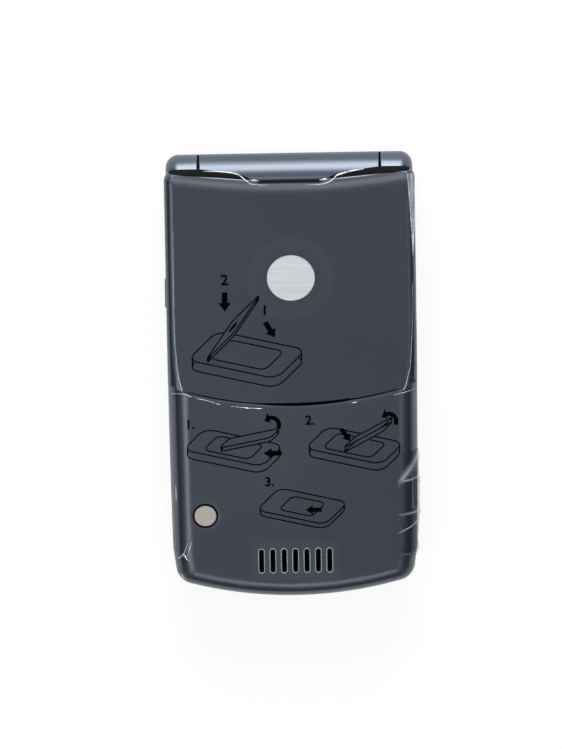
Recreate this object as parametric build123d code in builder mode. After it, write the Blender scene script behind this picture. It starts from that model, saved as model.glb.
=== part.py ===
from build123d import *
import os

os.makedirs("parts", exist_ok=True)

# A slim flip phone lying closed on the outer face of its lid, in millimetres.
# +Z points out of the back, +Y to the hinge, and the thick chin is at -Y.

# ---------------------------------------------------------------- overall sizes
closed_length = 98.0
body_width = 53.0
lid_depth = 6.4
closing_gap = 0.3  # between the two halves
base_depth = 7.7
film_thickness = 0.1
chin_end_y = -closed_length / 2
front_z = lid_depth + closing_gap  # keypad face of the base
back_z = front_z + base_depth  # back face of the cover and the lower housing

side_taper_start = 12.0  # the sides run straight from the hinge to here
side_taper_end = chin_end_y + 11.0
side_taper = 0.45  # loss of half width between the two
corner_slope = 0.13  # sideways loss per millimetre beyond the taper
chin_corner_radius = 4.0
seam = 0.2  # gap between parts that come apart
fit = 0.05  # clearance of a part seated in its pocket
float_gap = 0.02  # keeps faces that only meet from sharing a plane

# ---------------------------------------------------------------- hinge
barrel_radius = 5.0
barrel_wall = 1.0
barrel_end_wall = 1.6
barrel_edge = 0.25
hinge_y = closed_length / 2 - barrel_radius
hinge_z = front_z + 0.55
hinge_clearance = 0.3
knuckle_gap = 0.3
knuckle_length = 6.75
knuckle_round = 2.8
knuckle_end_x = body_width / 2 - 0.4
knuckle_inner_x = knuckle_end_x - knuckle_length
barrel_half_length = knuckle_inner_x - knuckle_gap
neck_start_y = hinge_y - barrel_radius - 0.5
pin_radius = 1.8
pin_bore_radius = 0.8
washer_radius = barrel_radius - 0.15
pin_inner_x = barrel_half_length - 3.45
pin_outer_x = knuckle_inner_x + 4.05
running_fit = 0.05
cartridge_radius = barrel_radius - barrel_wall - float_gap
cartridge_length = 10.0
cartridge_tail = 1.2
cartridge_tail_step = 0.8
cam_cut_width = 1.2
cam_cut_depth = 0.6

# ---------------------------------------------------------------- lid
lid_setback = 0.3  # the lid is narrower than the base by this on each side
lid_end_y = chin_end_y + 15.3
lid_end_radius = 75.0
lid_corner_radius = 2.0
lid_hinge_end_y = hinge_y - 3.0
lid_face_round = 1.6
lid_wall = 1.2
lid_floor = 1.0
lid_split_z = lid_depth - 2.0  # outer shell below, inner shell above
lid_rim_round = 0.6

# ---------------------------------------------------------------- base
front_wall = 0.8
base_wall = 1.2
back_wall = 1.1
board_z = front_z + 1.55
board_thickness = 0.7
frame_z = board_z + board_thickness
frame_split_z = frame_z + 0.65  # keypad frame below, rear housing above
deck_z = frame_split_z + 1.4  # top of the rear housing under the battery cover
deck_end_y = hinge_y - 5.5
chin_face_z = 0.15  # the chin stands this far clear of the table
chin_end_radius = lid_end_radius + 7.5  # plan radius of the chin's end
chin_face_round = 1.2
back_round = back_z - frame_split_z - 0.2  # leaves a narrow land above the split
knuckle_arm_inset = 0.3

# ---------------------------------------------------------------- battery cover
seam_y = -4.55
seam_radius = 85.0
cover_rim_y = hinge_y + 3.3
cover_corner_radius = 2.2
cover_seam_corner = 0.2
cover_side_round = 2.0
cover_rim_z = deck_z + seam
cover_wall = 1.1
cover_skirt = 1.4
cover_flat_end_y = hinge_y - 1.9  # where the back starts to dip to the hinge
cover_arch_radius = 150.0  # the dip runs along an arch that bows towards the seam
cover_dip_radius = 8.0
cover_dip_angle = 22
cover_shoulder_radius = 0.3
cover_shoulder_angle = 36
notch_y = hinge_y + 0.6
notch_half_width = 6.4
notch_shoulder_x = 10.6
notch_shoulder_y = hinge_y + 2.3
notch_round = 2.5
badge_radius = 5.1
badge_y = hinge_y - 20.3
badge_thickness = 0.5
badge_rim = 0.12
cover_film_inset = 2.4

# ---------------------------------------------------------------- catch of the cover
latch_half_width = 8.3
latch_thickness = 0.5
latch_front_y = hinge_y + 1.1
latch_back_y = hinge_y - 5.1
latch_z = hinge_z + barrel_radius + 0.35
latch_foot = 1.3
latch_corner = 0.4
latch_head_room = 0.15
latch_room_length = 14.0
latch_travel_room = 4.0

# ---------------------------------------------------------------- back details
slot_count = 7
slot_pitch = 2.42
slot_width = 0.95
slot_length = 5.2
slot_y = chin_end_y + 9.2
slot_film_width = 18.4  # hole of the film round the slots
slot_film_length = 8.8
plug_x = -(body_width / 2 - 7.45)
plug_y = chin_end_y + 19.6
plug_radius = 2.4
plug_head = 0.95
plug_edge = 0.3
plug_stem_radius = 1.3
plug_stem = 1.6
plug_gap = 0.15
plug_seat_gap = 0.1
dish_radius = 3.6
dish_depth = 0.25
dish_sphere = (dish_radius**2 + dish_depth**2) / (2 * dish_depth)

# ---------------------------------------------------------------- screws
screw_head_radius = 1.25
screw_shaft_radius = 0.65
screw_thread_gap = 0.01
screw_head = 0.7
screw_socket_radius = 0.6
screw_socket_depth = 0.4
screw_seat_room = 0.1
boss_radius = 1.7
boss_board_gap = 0.3
boss_floor = 0.4
boss_top_z = board_z + board_thickness
lid_screw_x = body_width / 2 - 5.5
lid_screw_y = lid_end_y + 6.4
lid_hinge_screw_x = 13.0
lid_hinge_screw_y = hinge_y - 9.0
screw_seat_z = lid_depth - 1.3  # under the head of each lid screw
base_screw_x = body_width / 2 - 3.5
base_screw_top_y = hinge_y - 8.0
base_screw_low_y = 8.6
bumper_stand = 0.1
bumper_edge = 0.2
bumper_overlap = 0.3

# ---------------------------------------------------------------- inside the lid
camera_y = hinge_y - 13.0
camera_radius = 3.6
camera_window_thickness = 0.8
camera_lens_radius = 1.4
camera_lens_depth = 0.8
camera_plate_width = 8.4
camera_plate_length = 8.2
camera_plate_corner = 0.6
lens_width = 31.0
lens_length = 22.0
lens_corner = 3.0
lens_y = camera_y - camera_radius - 4.4 - lens_length / 2
lens_face_z = 0.02
outer_display_thickness = 1.5
outer_display_lap = 0.5
outer_display_tail = 3.4
earpiece_length = 12.0
earpiece_width = 6.0
earpiece_tube_length = 8.0
earpiece_tube_width = 3.0
earpiece_tube = 0.8
earpiece_slot_pitch = 2.0
earpiece_slot_length = 2.6
earpiece_slot_width = 0.7
display_low_y = lid_screw_y + earpiece_width / 2 + 2.2
display_top_y = camera_y - camera_plate_length / 2 - 0.8
display_length = display_top_y - display_low_y
display_margin = 1.6
main_view_width = 35.0
main_view_length = display_length - 2 * display_margin
main_view_y = (display_top_y + display_low_y) / 2
display_width = main_view_width + 2 * display_margin
main_lens_thickness = 0.75
main_lens_margin = 2.2
main_lens_corner = 1.5
lid_board_z = lid_floor + outer_display_thickness
lid_board_thickness = 0.6
lid_board_width = body_width - 9.0
lid_board_low_y = lid_screw_y + 4.3
lid_board_top_y = camera_y + 2.0
lid_chip_width = 8.0
lid_chip_length = 6.0
lid_chip_height = 1.0
lid_chip_step_x = 12.0
lid_chip_step_y = 4.0
lid_chip_y = lens_y - lens_length / 2 - 9.0
display_z = lid_board_z + lid_board_thickness
bezel_floor_z = lid_split_z + 0.5

# ---------------------------------------------------------------- flat cable
cable_x = 7.2
cable_width = 4.0
cable_thickness = 0.2
cable_coil_start_x = -0.3
cable_coil_length = pin_inner_x - 0.9 - cable_coil_start_x
cable_radius = barrel_radius - barrel_wall - 0.3
cable_end_y = hinge_y - 11.6
cable_z = display_z + 0.4
cable_slot_room = 0.6

# ---------------------------------------------------------------- inside the base
dome_sheet_z = front_z + 1.4
dome_sheet_thickness = 0.12
board_half_width = base_screw_x - boss_radius - boss_board_gap
board_top_y = deck_end_y - base_wall - 0.5
board_low_y = chin_end_y + 17.0
board_length = board_top_y - board_low_y
board_middle_y = (board_top_y + board_low_y) / 2
board_corner = 1.0
shield_y = seam_y - 7.4
shield_length = 12.0
shield_width = 14.0
shield_height = 1.6
shield_places = [(-9.0, shield_y), (8.0, shield_y)]
frame_window = 36.0  # width of the inner frame's openings
frame_window_gap = 1.0
speaker_window_y = chin_end_y + 14.0
speaker_window_length = 18.0
battery_width = 36.0
battery_length = (deck_end_y - 2.0) - (seam_y + 4.1)
battery_y = deck_end_y - 2.0 - battery_length / 2
battery_z = frame_split_z + 0.1
battery_thickness = back_z - cover_wall - 0.3 - battery_z
battery_corner = 1.0
battery_edge = 0.4
contact_x = 6.0
contact_pitch = 2.6
contact_width = 1.2
contact_length = 2.4
contact_y = battery_y - battery_length / 2 + contact_length
sim_width = 25.0
sim_length = 15.0
sim_thickness = 0.4
sim_notch = 2.0
sim_rim = 1.2
sim_y = battery_y + 5.2
speaker_length = 19.0
speaker_width = 8.6
speaker_height = 3.4
speaker_rim = 1.1
speaker_cone_depth = 0.5
speaker_y = slot_y + 0.6
microphone_y = chin_end_y + 7.5
microphone_radius = 2.0
microphone_height = 1.4
microphone_hole = 0.5
antenna_z = 3.2
antenna_thickness = 0.6
antenna_foot_width = 1.6
antenna_foot_length = 3.0
antenna_foot_x = body_width / 2 - 7.5
antenna_foot_y = chin_end_y + 9.0
motor_x = body_width / 2 - 13.5
motor_y = chin_end_y + 23.0
motor_z = frame_split_z + 1.9
motor_radius = 1.8
motor_length = 7.0
motor_shaft_radius = 0.4
motor_weight_gap = 0.2
motor_weight_length = 2.2
motor_weight_radius = 1.7
usb_y = chin_end_y + 24.0
usb_z = frame_split_z + 1.3
usb_width = 7.7
usb_height = 3.9
usb_depth = 6.8
usb_wall = 0.4
usb_chamfer = 0.9
usb_setback = 1.2
usb_tongue_length = 5.0
usb_tongue_width = 5.1
usb_tongue_height = 0.9

# ---------------------------------------------------------------- keypad
key_travel = 0.22
key_gap = 0.22
key_corner = 1.3
key_edge = 0.12
key_flange = 0.15
key_flange_step = 0.03
key_neck = 0.4
key_flange_thickness = 0.2
key_plunger_radius = 0.9
key_face_z = front_z + float_gap
key_back_z = front_z + front_wall
column_gap = 1.2
row_gap = 1.0
keypad_side = 3.7
keypad_top_y = deck_end_y - 5.0
keypad_low_y = lid_end_y + 6.4
ring_radius = 9.2
ring_inner_radius = 4.5
ring_y = keypad_top_y - 9.9
ring_thickness = 0.5
ring_edge = 0.15
ring_pad_radius = 8.4
ring_pad_thickness = 0.25
ring_stud_inset = 1.6
ring_stud_height = 0.1
ring_side_gap = 2.6
select_radius = 4.1
soft_key_side = 3.1
soft_key_length = 8.2
soft_row_gap = 2.6
soft_key_width = body_width / 2 - soft_key_side - ring_radius - ring_side_gap
soft_key_x = ring_radius + ring_side_gap + soft_key_width / 2
soft_key_y = keypad_top_y - soft_key_length / 2
call_key_y = soft_key_y - soft_key_length - soft_row_gap
clear_gap = 2.8  # above the clear key
digits_gap = 2.0  # below it
number_room = call_key_y - soft_key_length / 2 - clear_gap - digits_gap - keypad_low_y
key_length = (number_room - 3 * row_gap) / 5
key_width = (body_width - 2 * keypad_side - 2 * column_gap) / 3
key_step_x = key_width + column_gap
key_step_y = key_length + row_gap
clear_key_y = call_key_y - soft_key_length / 2 - clear_gap - key_length / 2
digits_top_y = clear_key_y - key_length - digits_gap

# ---------------------------------------------------------------- side keys
side_key_height = 2.2
side_key_z = lid_split_z - 1.5
side_key_depth = 2.1
side_key_round = 0.3
side_key_flange = 0.6
side_key_flange_depth = 0.3
side_key_flange_step = 0.2
rocker_length = 12.0
rocker_y = hinge_y - 24.0
smart_key_length = 5.0
smart_key_y = rocker_y - 12.5
voice_key_length = 6.0
voice_key_y = hinge_y - 27.0
side_key_stand = 0.4

# ---------------------------------------------------------------- loose flap of the lower film
flap_reach = body_width / 2 + 0.3
flap_length = 18.0
flap_y = chin_end_y + 22.0
flap_lift = 0.35
flap_overlap = 1.0
flap_skirt = 1.2
flap_centre_x = body_width / 2 - side_taper - back_round
flap_centre_z = back_z - back_round
lower_film_inset = back_round + 0.3
lower_film_seam_gap = 0.8


def save(piece, name):
    """Label a finished piece and write it to its own file."""
    piece.part.label = name
    export_step(piece.part, f"parts/{name}.step")


def phone_plan(top, half_width, end_y, end_radius, corner, inset=0.0):
    """Plan of the phone or its lid: straight at the hinge end, arched at the far end."""
    low_y = -closed_length
    wide = half_width - inset
    narrow = wide - side_taper
    with BuildSketch() as plan:
        with BuildLine():
            Polyline((0, closed_length), (wide, closed_length), (wide, side_taper_start))
            TangentArc((wide, side_taper_start), (narrow, side_taper_end), tangent=(0, -1))
            Polyline(
                (narrow, side_taper_end),
                (narrow - corner_slope * (side_taper_end - low_y), low_y),
                (0, low_y),
            )
            mirror(about=Plane.YZ)
        make_face()
        with Locations((0, top - inset)):
            Rectangle(body_width, 3 * closed_length, align=(Align.CENTER, Align.MAX), mode=Mode.INTERSECT)
        with Locations((0, end_y + end_radius)):
            Circle(end_radius - inset, mode=Mode.INTERSECT)
        if corner > inset:
            fillet(plan.vertices().group_by(Axis.Y)[0], corner - inset)
    return plan.sketch


def base_plan(top, inset=0.0):
    return phone_plan(top, body_width / 2, chin_end_y, chin_end_radius, chin_corner_radius, inset)


def lid_plan(top, inset=0.0):
    half = body_width / 2 - lid_setback
    return phone_plan(top, half, lid_end_y, lid_end_radius, lid_corner_radius, inset)


def cover_plan(top, inset=0.0):
    return phone_plan(top, body_width / 2, seam_y, seam_radius, cover_seam_corner, inset)


def hinge_cylinder(radius, half_length):
    """A solid cylinder on the hinge axis."""
    with BuildPart() as cylinder:
        with BuildSketch(Plane.YZ):
            with Locations((hinge_y, hinge_z)):
                Circle(radius)
        extrude(amount=half_length, both=True)
    return cylinder.part


def hinge_sweep_space():
    """The room that the barrel and the knuckles need to turn in."""
    return hinge_cylinder(barrel_radius + hinge_clearance, body_width)


def arc_region(end_y, radius):
    """The disc whose lower edge is the arched end of the lid or the battery cover."""
    with BuildSketch() as region:
        with Locations((0, end_y + radius)):
            Circle(radius)
    return region.sketch


# ================================================================= lid
lid_screw_places = [
    (lid_screw_x, lid_screw_y),
    (-lid_screw_x, lid_screw_y),
    (lid_hinge_screw_x, lid_hinge_screw_y),
    (-lid_hinge_screw_x, lid_hinge_screw_y),
]
side_key_x = body_width / 2 - lid_setback

with BuildPart() as lid_shell:
    with BuildSketch():
        add(lid_plan(lid_hinge_end_y))
    extrude(amount=lid_split_z)
    fillet(lid_shell.faces().sort_by(Axis.Z)[0].edges(), lid_face_round)
    with BuildSketch(Plane.XY.offset(lid_floor)):
        add(lid_plan(lid_hinge_end_y, lid_wall))
    extrude(amount=lid_split_z, mode=Mode.SUBTRACT)
    add(hinge_sweep_space(), mode=Mode.SUBTRACT)
    with BuildSketch():  # room for the neck of the barrel
        with Locations((0, neck_start_y)):
            Rectangle(
                2 * (barrel_half_length + fit),
                2 * barrel_radius,
                align=(Align.CENTER, Align.MIN),
            )
    extrude(amount=lid_split_z, mode=Mode.SUBTRACT)
    with BuildSketch(Plane.XY.offset(lid_floor)):  # bosses for the two end screws
        with Locations(lid_screw_places[:2]):
            Circle(boss_radius)
    extrude(amount=lid_split_z - lid_floor)
    with BuildSketch(Plane.XY.offset(lid_split_z)):
        with Locations(lid_screw_places[:2]):
            Circle(screw_shaft_radius)
    extrude(amount=-(lid_split_z - lid_floor - boss_floor), mode=Mode.SUBTRACT)
    with BuildSketch():  # window of the outer display, and the camera's hole
        with Locations((0, lens_y)):
            RectangleRounded(lens_width, lens_length, lens_corner)
        with Locations((0, camera_y)):
            Circle(camera_radius)
    extrude(amount=lid_floor, mode=Mode.SUBTRACT)
    # openings of the side keys
    for side, length, place in (
        (1, rocker_length, rocker_y),
        (1, smart_key_length, smart_key_y),
        (-1, voice_key_length, voice_key_y),
    ):
        with Locations((side * side_key_x, place, side_key_z)):
            Box(4 * lid_wall, length + 2 * seam, side_key_height + 2 * seam, mode=Mode.SUBTRACT)
save(lid_shell, "lid_shell")

main_lens_width = main_view_width + 2 * main_lens_margin
main_lens_length = main_view_length + 2 * main_lens_margin
with BuildPart() as lid_bezel:
    with BuildSketch(Plane.XY.offset(lid_split_z)):
        add(lid_plan(lid_hinge_end_y))
    extrude(amount=lid_depth - lid_split_z)
    fillet(lid_bezel.faces().sort_by(Axis.Z)[-1].edges(), lid_rim_round)
    add(hinge_sweep_space(), mode=Mode.SUBTRACT)
    with BuildSketch(Plane.XY.offset(lid_split_z)):
        with Locations((0, neck_start_y)):
            Rectangle(
                2 * (barrel_half_length + fit),
                2 * barrel_radius,
                align=(Align.CENTER, Align.MIN),
            )
    extrude(amount=lid_depth, mode=Mode.SUBTRACT)
    with BuildSketch(Plane.XY.offset(lid_split_z)):  # pocket of the main display, from below
        with Locations((0, main_view_y)):
            Rectangle(display_width + 2 * fit, display_length + 2 * fit)
    extrude(amount=bezel_floor_z - lid_split_z, mode=Mode.SUBTRACT)
    with BuildSketch(Plane.XY.offset(lid_split_z)):
        with Locations((0, main_view_y)):
            Rectangle(main_view_width, main_view_length)
    extrude(amount=lid_depth, mode=Mode.SUBTRACT)
    with BuildSketch(Plane.XY.offset(lid_depth)):  # seat of the main lens, from above
        with Locations((0, main_view_y)):
            RectangleRounded(main_lens_width + 2 * fit, main_lens_length + 2 * fit, main_lens_corner)
    extrude(amount=-(main_lens_thickness + fit), mode=Mode.SUBTRACT)
    with BuildSketch(Plane.XY.offset(lid_depth)):
        with Locations(lid_screw_places):
            Circle(screw_head_radius + bumper_overlap + fit)
    extrude(amount=-(lid_depth - screw_seat_z), mode=Mode.SUBTRACT)
    with BuildSketch(Plane.XY.offset(lid_depth)):
        with Locations(lid_screw_places):
            Circle(screw_shaft_radius + fit)
        with Locations((0, lid_screw_y)):  # sound slots of the earpiece
            with GridLocations(earpiece_slot_pitch, 0, 5, 1):
                SlotOverall(earpiece_slot_length, earpiece_slot_width, rotation=90)
    extrude(amount=-lid_depth, mode=Mode.SUBTRACT)
save(lid_bezel, "lid_bezel")

with BuildPart() as outer_lens:
    with BuildSketch(Plane.XY.offset(lens_face_z)):
        with Locations((0, lens_y)):
            RectangleRounded(lens_width - 2 * fit, lens_length - 2 * fit, lens_corner - fit)
    extrude(amount=lid_floor - lens_face_z)
save(outer_lens, "outer_lens")

with BuildPart() as outer_display:
    with BuildSketch(Plane.XY.offset(lid_floor)):
        with Locations((0, lens_y)):
            Rectangle(lens_width + 2 * outer_display_lap, lens_length - 2 * outer_display_lap)
    extrude(amount=outer_display_thickness)
    with BuildSketch(Plane.XY.offset(lid_floor)):
        with Locations((0, lens_y - lens_length / 2 + outer_display_lap)):
            Rectangle(lens_width / 2, outer_display_tail, align=(Align.CENTER, Align.MAX))
    extrude(amount=outer_display_thickness / 2)
save(outer_display, "outer_display")

with BuildPart() as lid_board:
    with BuildSketch(Plane.XY.offset(lid_board_z)):
        with Locations((0, (lid_board_low_y + lid_board_top_y) / 2)):
            RectangleRounded(lid_board_width, lid_board_top_y - lid_board_low_y, board_corner)
        with Locations((0, camera_y)):
            Circle(camera_radius + boss_board_gap, mode=Mode.SUBTRACT)
        with Locations(lid_screw_places):
            Circle(boss_radius + boss_board_gap, mode=Mode.SUBTRACT)
    extrude(amount=lid_board_thickness)
    with BuildSketch(Plane.XY.offset(lid_board_z)):  # driver chips beside the outer display
        with Locations((0, lid_chip_y), (-lid_chip_step_x, lid_chip_y - lid_chip_step_y)):
            Rectangle(lid_chip_width, lid_chip_length)
    extrude(amount=-lid_chip_height)
save(lid_board, "lid_board")

with BuildPart() as main_display:
    with BuildSketch(Plane.XY.offset(display_z)):
        with Locations((0, main_view_y)):
            Rectangle(display_width, display_length)
    extrude(amount=bezel_floor_z - display_z)
save(main_display, "main_display")

with BuildPart() as main_lens:
    with BuildSketch(Plane.XY.offset(lid_depth - main_lens_thickness)):
        with Locations((0, main_view_y)):
            RectangleRounded(main_lens_width, main_lens_length, main_lens_corner - fit)
    extrude(amount=main_lens_thickness - fit)
save(main_lens, "main_lens")

with BuildPart() as camera_window:
    with BuildSketch(Plane.XY.offset(lens_face_z)):
        with Locations((0, camera_y)):
            Circle(camera_radius - fit)
    extrude(amount=camera_window_thickness)
save(camera_window, "camera_window")

with BuildPart() as camera_module:
    with BuildSketch(Plane.XY.offset(lens_face_z + camera_window_thickness)):
        with Locations((0, camera_y)):
            Circle(camera_radius - 2 * fit)
    extrude(amount=display_z - lens_face_z - camera_window_thickness)
    with BuildSketch(Plane.XY.offset(lens_face_z + camera_window_thickness)):
        with Locations((0, camera_y)):
            Circle(camera_lens_radius)
    extrude(amount=camera_lens_depth, mode=Mode.SUBTRACT)
    with BuildSketch(Plane.XY.offset(display_z)):
        with Locations((0, camera_y)):
            RectangleRounded(camera_plate_width, camera_plate_length, camera_plate_corner)
    extrude(amount=lid_split_z - display_z)
save(camera_module, "camera_module")

with BuildPart() as earpiece:
    with BuildSketch(Plane.XY.offset(lid_floor + earpiece_tube)):
        with Locations((0, lid_screw_y)):
            SlotOverall(earpiece_length, earpiece_width)
    extrude(amount=lid_split_z - lid_floor - earpiece_tube)
    with BuildSketch(Plane.XY.offset(lid_floor)):
        with Locations((0, lid_screw_y)):
            SlotOverall(earpiece_tube_length, earpiece_tube_width)
    extrude(amount=earpiece_tube)
save(earpiece, "earpiece")

with BuildPart() as lid_screws:
    with BuildSketch(Plane.XY.offset(screw_seat_z)):
        with Locations(lid_screw_places):
            Circle(screw_head_radius)
    extrude(amount=screw_head)
    with BuildSketch(Plane.XY.offset(screw_seat_z)):
        with Locations(lid_screw_places):
            Circle(screw_shaft_radius - screw_thread_gap)
    extrude(amount=-(screw_seat_z - lid_floor - 2 * boss_floor))
    with BuildSketch(Plane.XY.offset(screw_seat_z + screw_head)):
        with Locations(lid_screw_places):
            RegularPolygon(screw_socket_radius, 6)
    extrude(amount=-screw_socket_depth, mode=Mode.SUBTRACT)
save(lid_screws, "lid_screws")

bumper_z = screw_seat_z + screw_head
with BuildPart() as lid_bumpers:
    with BuildSketch(Plane.XY.offset(bumper_z)):
        with Locations(lid_screw_places):
            Circle(screw_head_radius + bumper_overlap)
    extrude(amount=lid_depth + bumper_stand - bumper_z)
    fillet(lid_bumpers.faces().group_by(Axis.Z)[-1].edges(), bumper_edge)
save(lid_bumpers, "lid_bumpers")

# ================================================================= hinge, lid side
neck_drop_angle = -112.0  # where the underside of the neck meets the barrel
with BuildPart() as hinge_barrel:
    with BuildSketch(Plane.YZ):
        with Locations((hinge_y, hinge_z)):
            Circle(barrel_radius)
        with BuildLine():
            Polyline(
                (neck_start_y, lid_floor / 2),
                (hinge_y, hinge_z) + Vector(barrel_radius, 0).rotate(Axis.Z, neck_drop_angle),
                (hinge_y, hinge_z),
                (hinge_y - barrel_radius / 2, hinge_z),
                (neck_start_y, lid_depth - lid_rim_round),
                close=True,
            )
        make_face()
    extrude(amount=barrel_half_length, both=True)
    fillet(hinge_barrel.faces().filter_by(Axis.X).edges().filter_by(GeomType.CIRCLE), barrel_edge)
    with BuildSketch(Plane.YZ):
        with Locations((hinge_y, hinge_z)):
            Circle(barrel_radius - barrel_wall)
    extrude(amount=barrel_half_length - barrel_end_wall, both=True, mode=Mode.SUBTRACT)
    with BuildSketch(Plane.YZ):
        with Locations((hinge_y, hinge_z)):
            Circle(pin_radius + running_fit)
    extrude(amount=barrel_half_length, both=True, mode=Mode.SUBTRACT)
    # two tongues reach into the lid, one under each hinge screw
    with BuildSketch(Plane.XY.offset(lid_floor)):
        for side in (1, -1):
            with Locations((side * lid_hinge_screw_x, lid_hinge_screw_y - boss_radius)):
                Rectangle(
                    3 * boss_radius,
                    neck_start_y - lid_hinge_screw_y + boss_radius,
                    align=(Align.CENTER, Align.MIN),
                )
    extrude(amount=lid_split_z - lid_floor)
    with BuildSketch(Plane.XY.offset(lid_split_z)):
        with Locations(lid_screw_places[2:]):
            Circle(screw_shaft_radius)
    extrude(amount=-(lid_split_z - lid_floor - boss_floor), mode=Mode.SUBTRACT)
    # slot for the flat cable
    with BuildSketch(Plane.XY.offset(cable_z - fit)):
        with Locations((cable_x, neck_start_y)):
            Rectangle(cable_width + cable_slot_room, barrel_radius, align=(Align.CENTER, Align.MIN))
    extrude(amount=cable_thickness + 2 * fit, mode=Mode.SUBTRACT)
save(hinge_barrel, "hinge_barrel")

cartridge_x = -pin_inner_x + seam
with BuildPart() as hinge_cartridge:
    with BuildSketch(Plane.YZ.offset(cartridge_x)):
        with Locations((hinge_y, hinge_z)):
            Circle(cartridge_radius)
    extrude(amount=cartridge_length)
    with BuildSketch(Plane.YZ.offset(cartridge_x + cartridge_length)):  # tail of the spring cup
        with Locations((hinge_y, hinge_z)):
            Circle(cartridge_radius - cartridge_tail_step)
    extrude(amount=cartridge_tail)
    with BuildSketch(Plane.YZ.offset(cartridge_x)):  # cut of the cam
        with Locations((hinge_y, hinge_z)):
            Rectangle(cam_cut_width, 2 * cartridge_radius)
    extrude(amount=cam_cut_depth, mode=Mode.SUBTRACT)
save(hinge_cartridge, "hinge_cartridge")

with BuildPart() as flat_cable:
    with BuildSketch(Plane.XY.offset(cable_z)):  # tail through the slot to the lid board
        with Locations((cable_x, cable_end_y)):
            Rectangle(cable_width, hinge_y - cable_end_y, align=(Align.CENTER, Align.MIN))
    extrude(amount=cable_thickness)
    with BuildSketch(Plane.YZ.offset(cable_coil_start_x)):
        with Locations((hinge_y, hinge_z)):
            Circle(cable_radius)
    extrude(amount=cable_coil_length)
    with BuildSketch(Plane.YZ.offset(cable_coil_start_x)):
        with Locations((hinge_y, hinge_z)):
            Circle(cable_radius - cable_thickness)
    extrude(amount=cable_coil_length, mode=Mode.SUBTRACT)
save(flat_cable, "flat_cable")

# ================================================================= side keys
for name, side, length, place in (
    ("volume_rocker", 1, rocker_length, rocker_y),
    ("smart_key", 1, smart_key_length, smart_key_y),
    ("voice_key", -1, voice_key_length, voice_key_y),
):
    stand = side_key_stand if side > 0 else flap_reach - side_key_x
    with BuildPart() as side_key:
        with Locations((side * (side_key_x + stand - side_key_depth / 2), place, side_key_z)):
            Box(side_key_depth, length, side_key_height)
        outer_face = side_key.faces().sort_by(Axis.X)[-1 if side > 0 else 0]
        fillet(outer_face.edges(), side_key_round)
        with Locations((side * (side_key_x + stand - side_key_depth), place, side_key_z)):
            Box(
                side_key_flange_depth,
                length + 2 * side_key_flange,
                side_key_height - 2 * side_key_flange_step,
            )
    save(side_key, name)

# ================================================================= base, keypad side
base_screw_places = [
    (base_screw_x, base_screw_top_y),
    (-base_screw_x, base_screw_top_y),
    (base_screw_x, base_screw_low_y),
    (-base_screw_x, base_screw_low_y),
]
chin_clear_radius = lid_end_radius + closing_gap


def key_plan(shape, width, length, extra):
    """Outline of one key, grown by extra on every side."""
    with BuildSketch() as plan:
        if shape == "round":
            Circle(width / 2 + extra)
        else:
            RectangleRounded(width + 2 * extra, length + 2 * extra, key_corner + extra)
    return plan.sketch


# every key: name, outline, place and size; the number 1 is on the +X side, as the front faces down
call_row = [
    ("left_soft_key", "rounded", soft_key_x, soft_key_y, soft_key_width, soft_key_length),
    ("right_soft_key", "rounded", -soft_key_x, soft_key_y, soft_key_width, soft_key_length),
    ("send_key", "rounded", soft_key_x, call_key_y, soft_key_width, soft_key_length),
    ("end_key", "rounded", -soft_key_x, call_key_y, soft_key_width, soft_key_length),
    ("clear_key", "rounded", 0, clear_key_y, key_width, key_length),
    ("select_key", "round", 0, ring_y, 2 * select_radius, 2 * select_radius),
]
digit_names = ["1", "2", "3", "4", "5", "6", "7", "8", "9", "star", "0", "hash"]
digit_keys = [
    (
        f"key_{digit}",
        "rounded",
        key_step_x * (1 - count % 3),
        digits_top_y - key_step_y * (count // 3),
        key_width,
        key_length,
    )
    for count, digit in enumerate(digit_names)
]
keys = call_row + digit_keys

with BuildPart() as keypad_frame:
    with BuildSketch(Plane.XY.offset(front_z)):
        add(base_plan(deck_end_y))
    extrude(amount=frame_split_z - front_z)
    with BuildSketch(Plane.XY.offset(chin_face_z)):  # the chin fills the whole depth
        add(base_plan(0))
        add(arc_region(lid_end_y - closing_gap, chin_clear_radius), mode=Mode.SUBTRACT)
    extrude(amount=front_z - chin_face_z)
    fillet(keypad_frame.faces().sort_by(Axis.Z)[0].edges(), chin_face_round)
    with BuildSketch(Plane.XY.offset(key_back_z)):  # inside of the frame
        add(base_plan(deck_end_y, base_wall))
    extrude(amount=frame_split_z, mode=Mode.SUBTRACT)
    with BuildSketch(Plane.XY.offset(chin_face_z + base_wall)):  # inside of the chin
        add(base_plan(0, base_wall + chin_face_round / 2))
        add(arc_region(lid_end_y - closing_gap - base_wall, chin_clear_radius), mode=Mode.SUBTRACT)
    extrude(amount=front_z, mode=Mode.SUBTRACT)
    with BuildSketch(Plane.XY.offset(front_z)):
        with Locations((0, ring_y)):
            Circle(ring_radius + key_gap)
        for name, shape, x, y, width, length in keys:
            if name != "select_key":
                with Locations((x, y)):
                    add(key_plan(shape, width, length, key_gap))
    extrude(amount=front_wall, mode=Mode.SUBTRACT)
    with BuildSketch(Plane.XY.offset(key_back_z)):
        with Locations(base_screw_places):
            Circle(boss_radius)
    extrude(amount=boss_top_z - key_back_z)
    with BuildSketch(Plane.XY.offset(boss_top_z)):
        with Locations(base_screw_places):
            Circle(screw_shaft_radius)
    extrude(amount=-(boss_top_z - key_back_z), mode=Mode.SUBTRACT)
    with Locations((0, microphone_y, chin_face_z)):  # hole of the microphone
        Cylinder(microphone_hole, 3 * base_wall, mode=Mode.SUBTRACT)
    with Locations((body_width / 2, usb_y, usb_z)):
        Box(4 * base_wall, usb_width + 2 * fit, usb_height + 2 * fit, mode=Mode.SUBTRACT)
save(keypad_frame, "keypad_frame")

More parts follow.
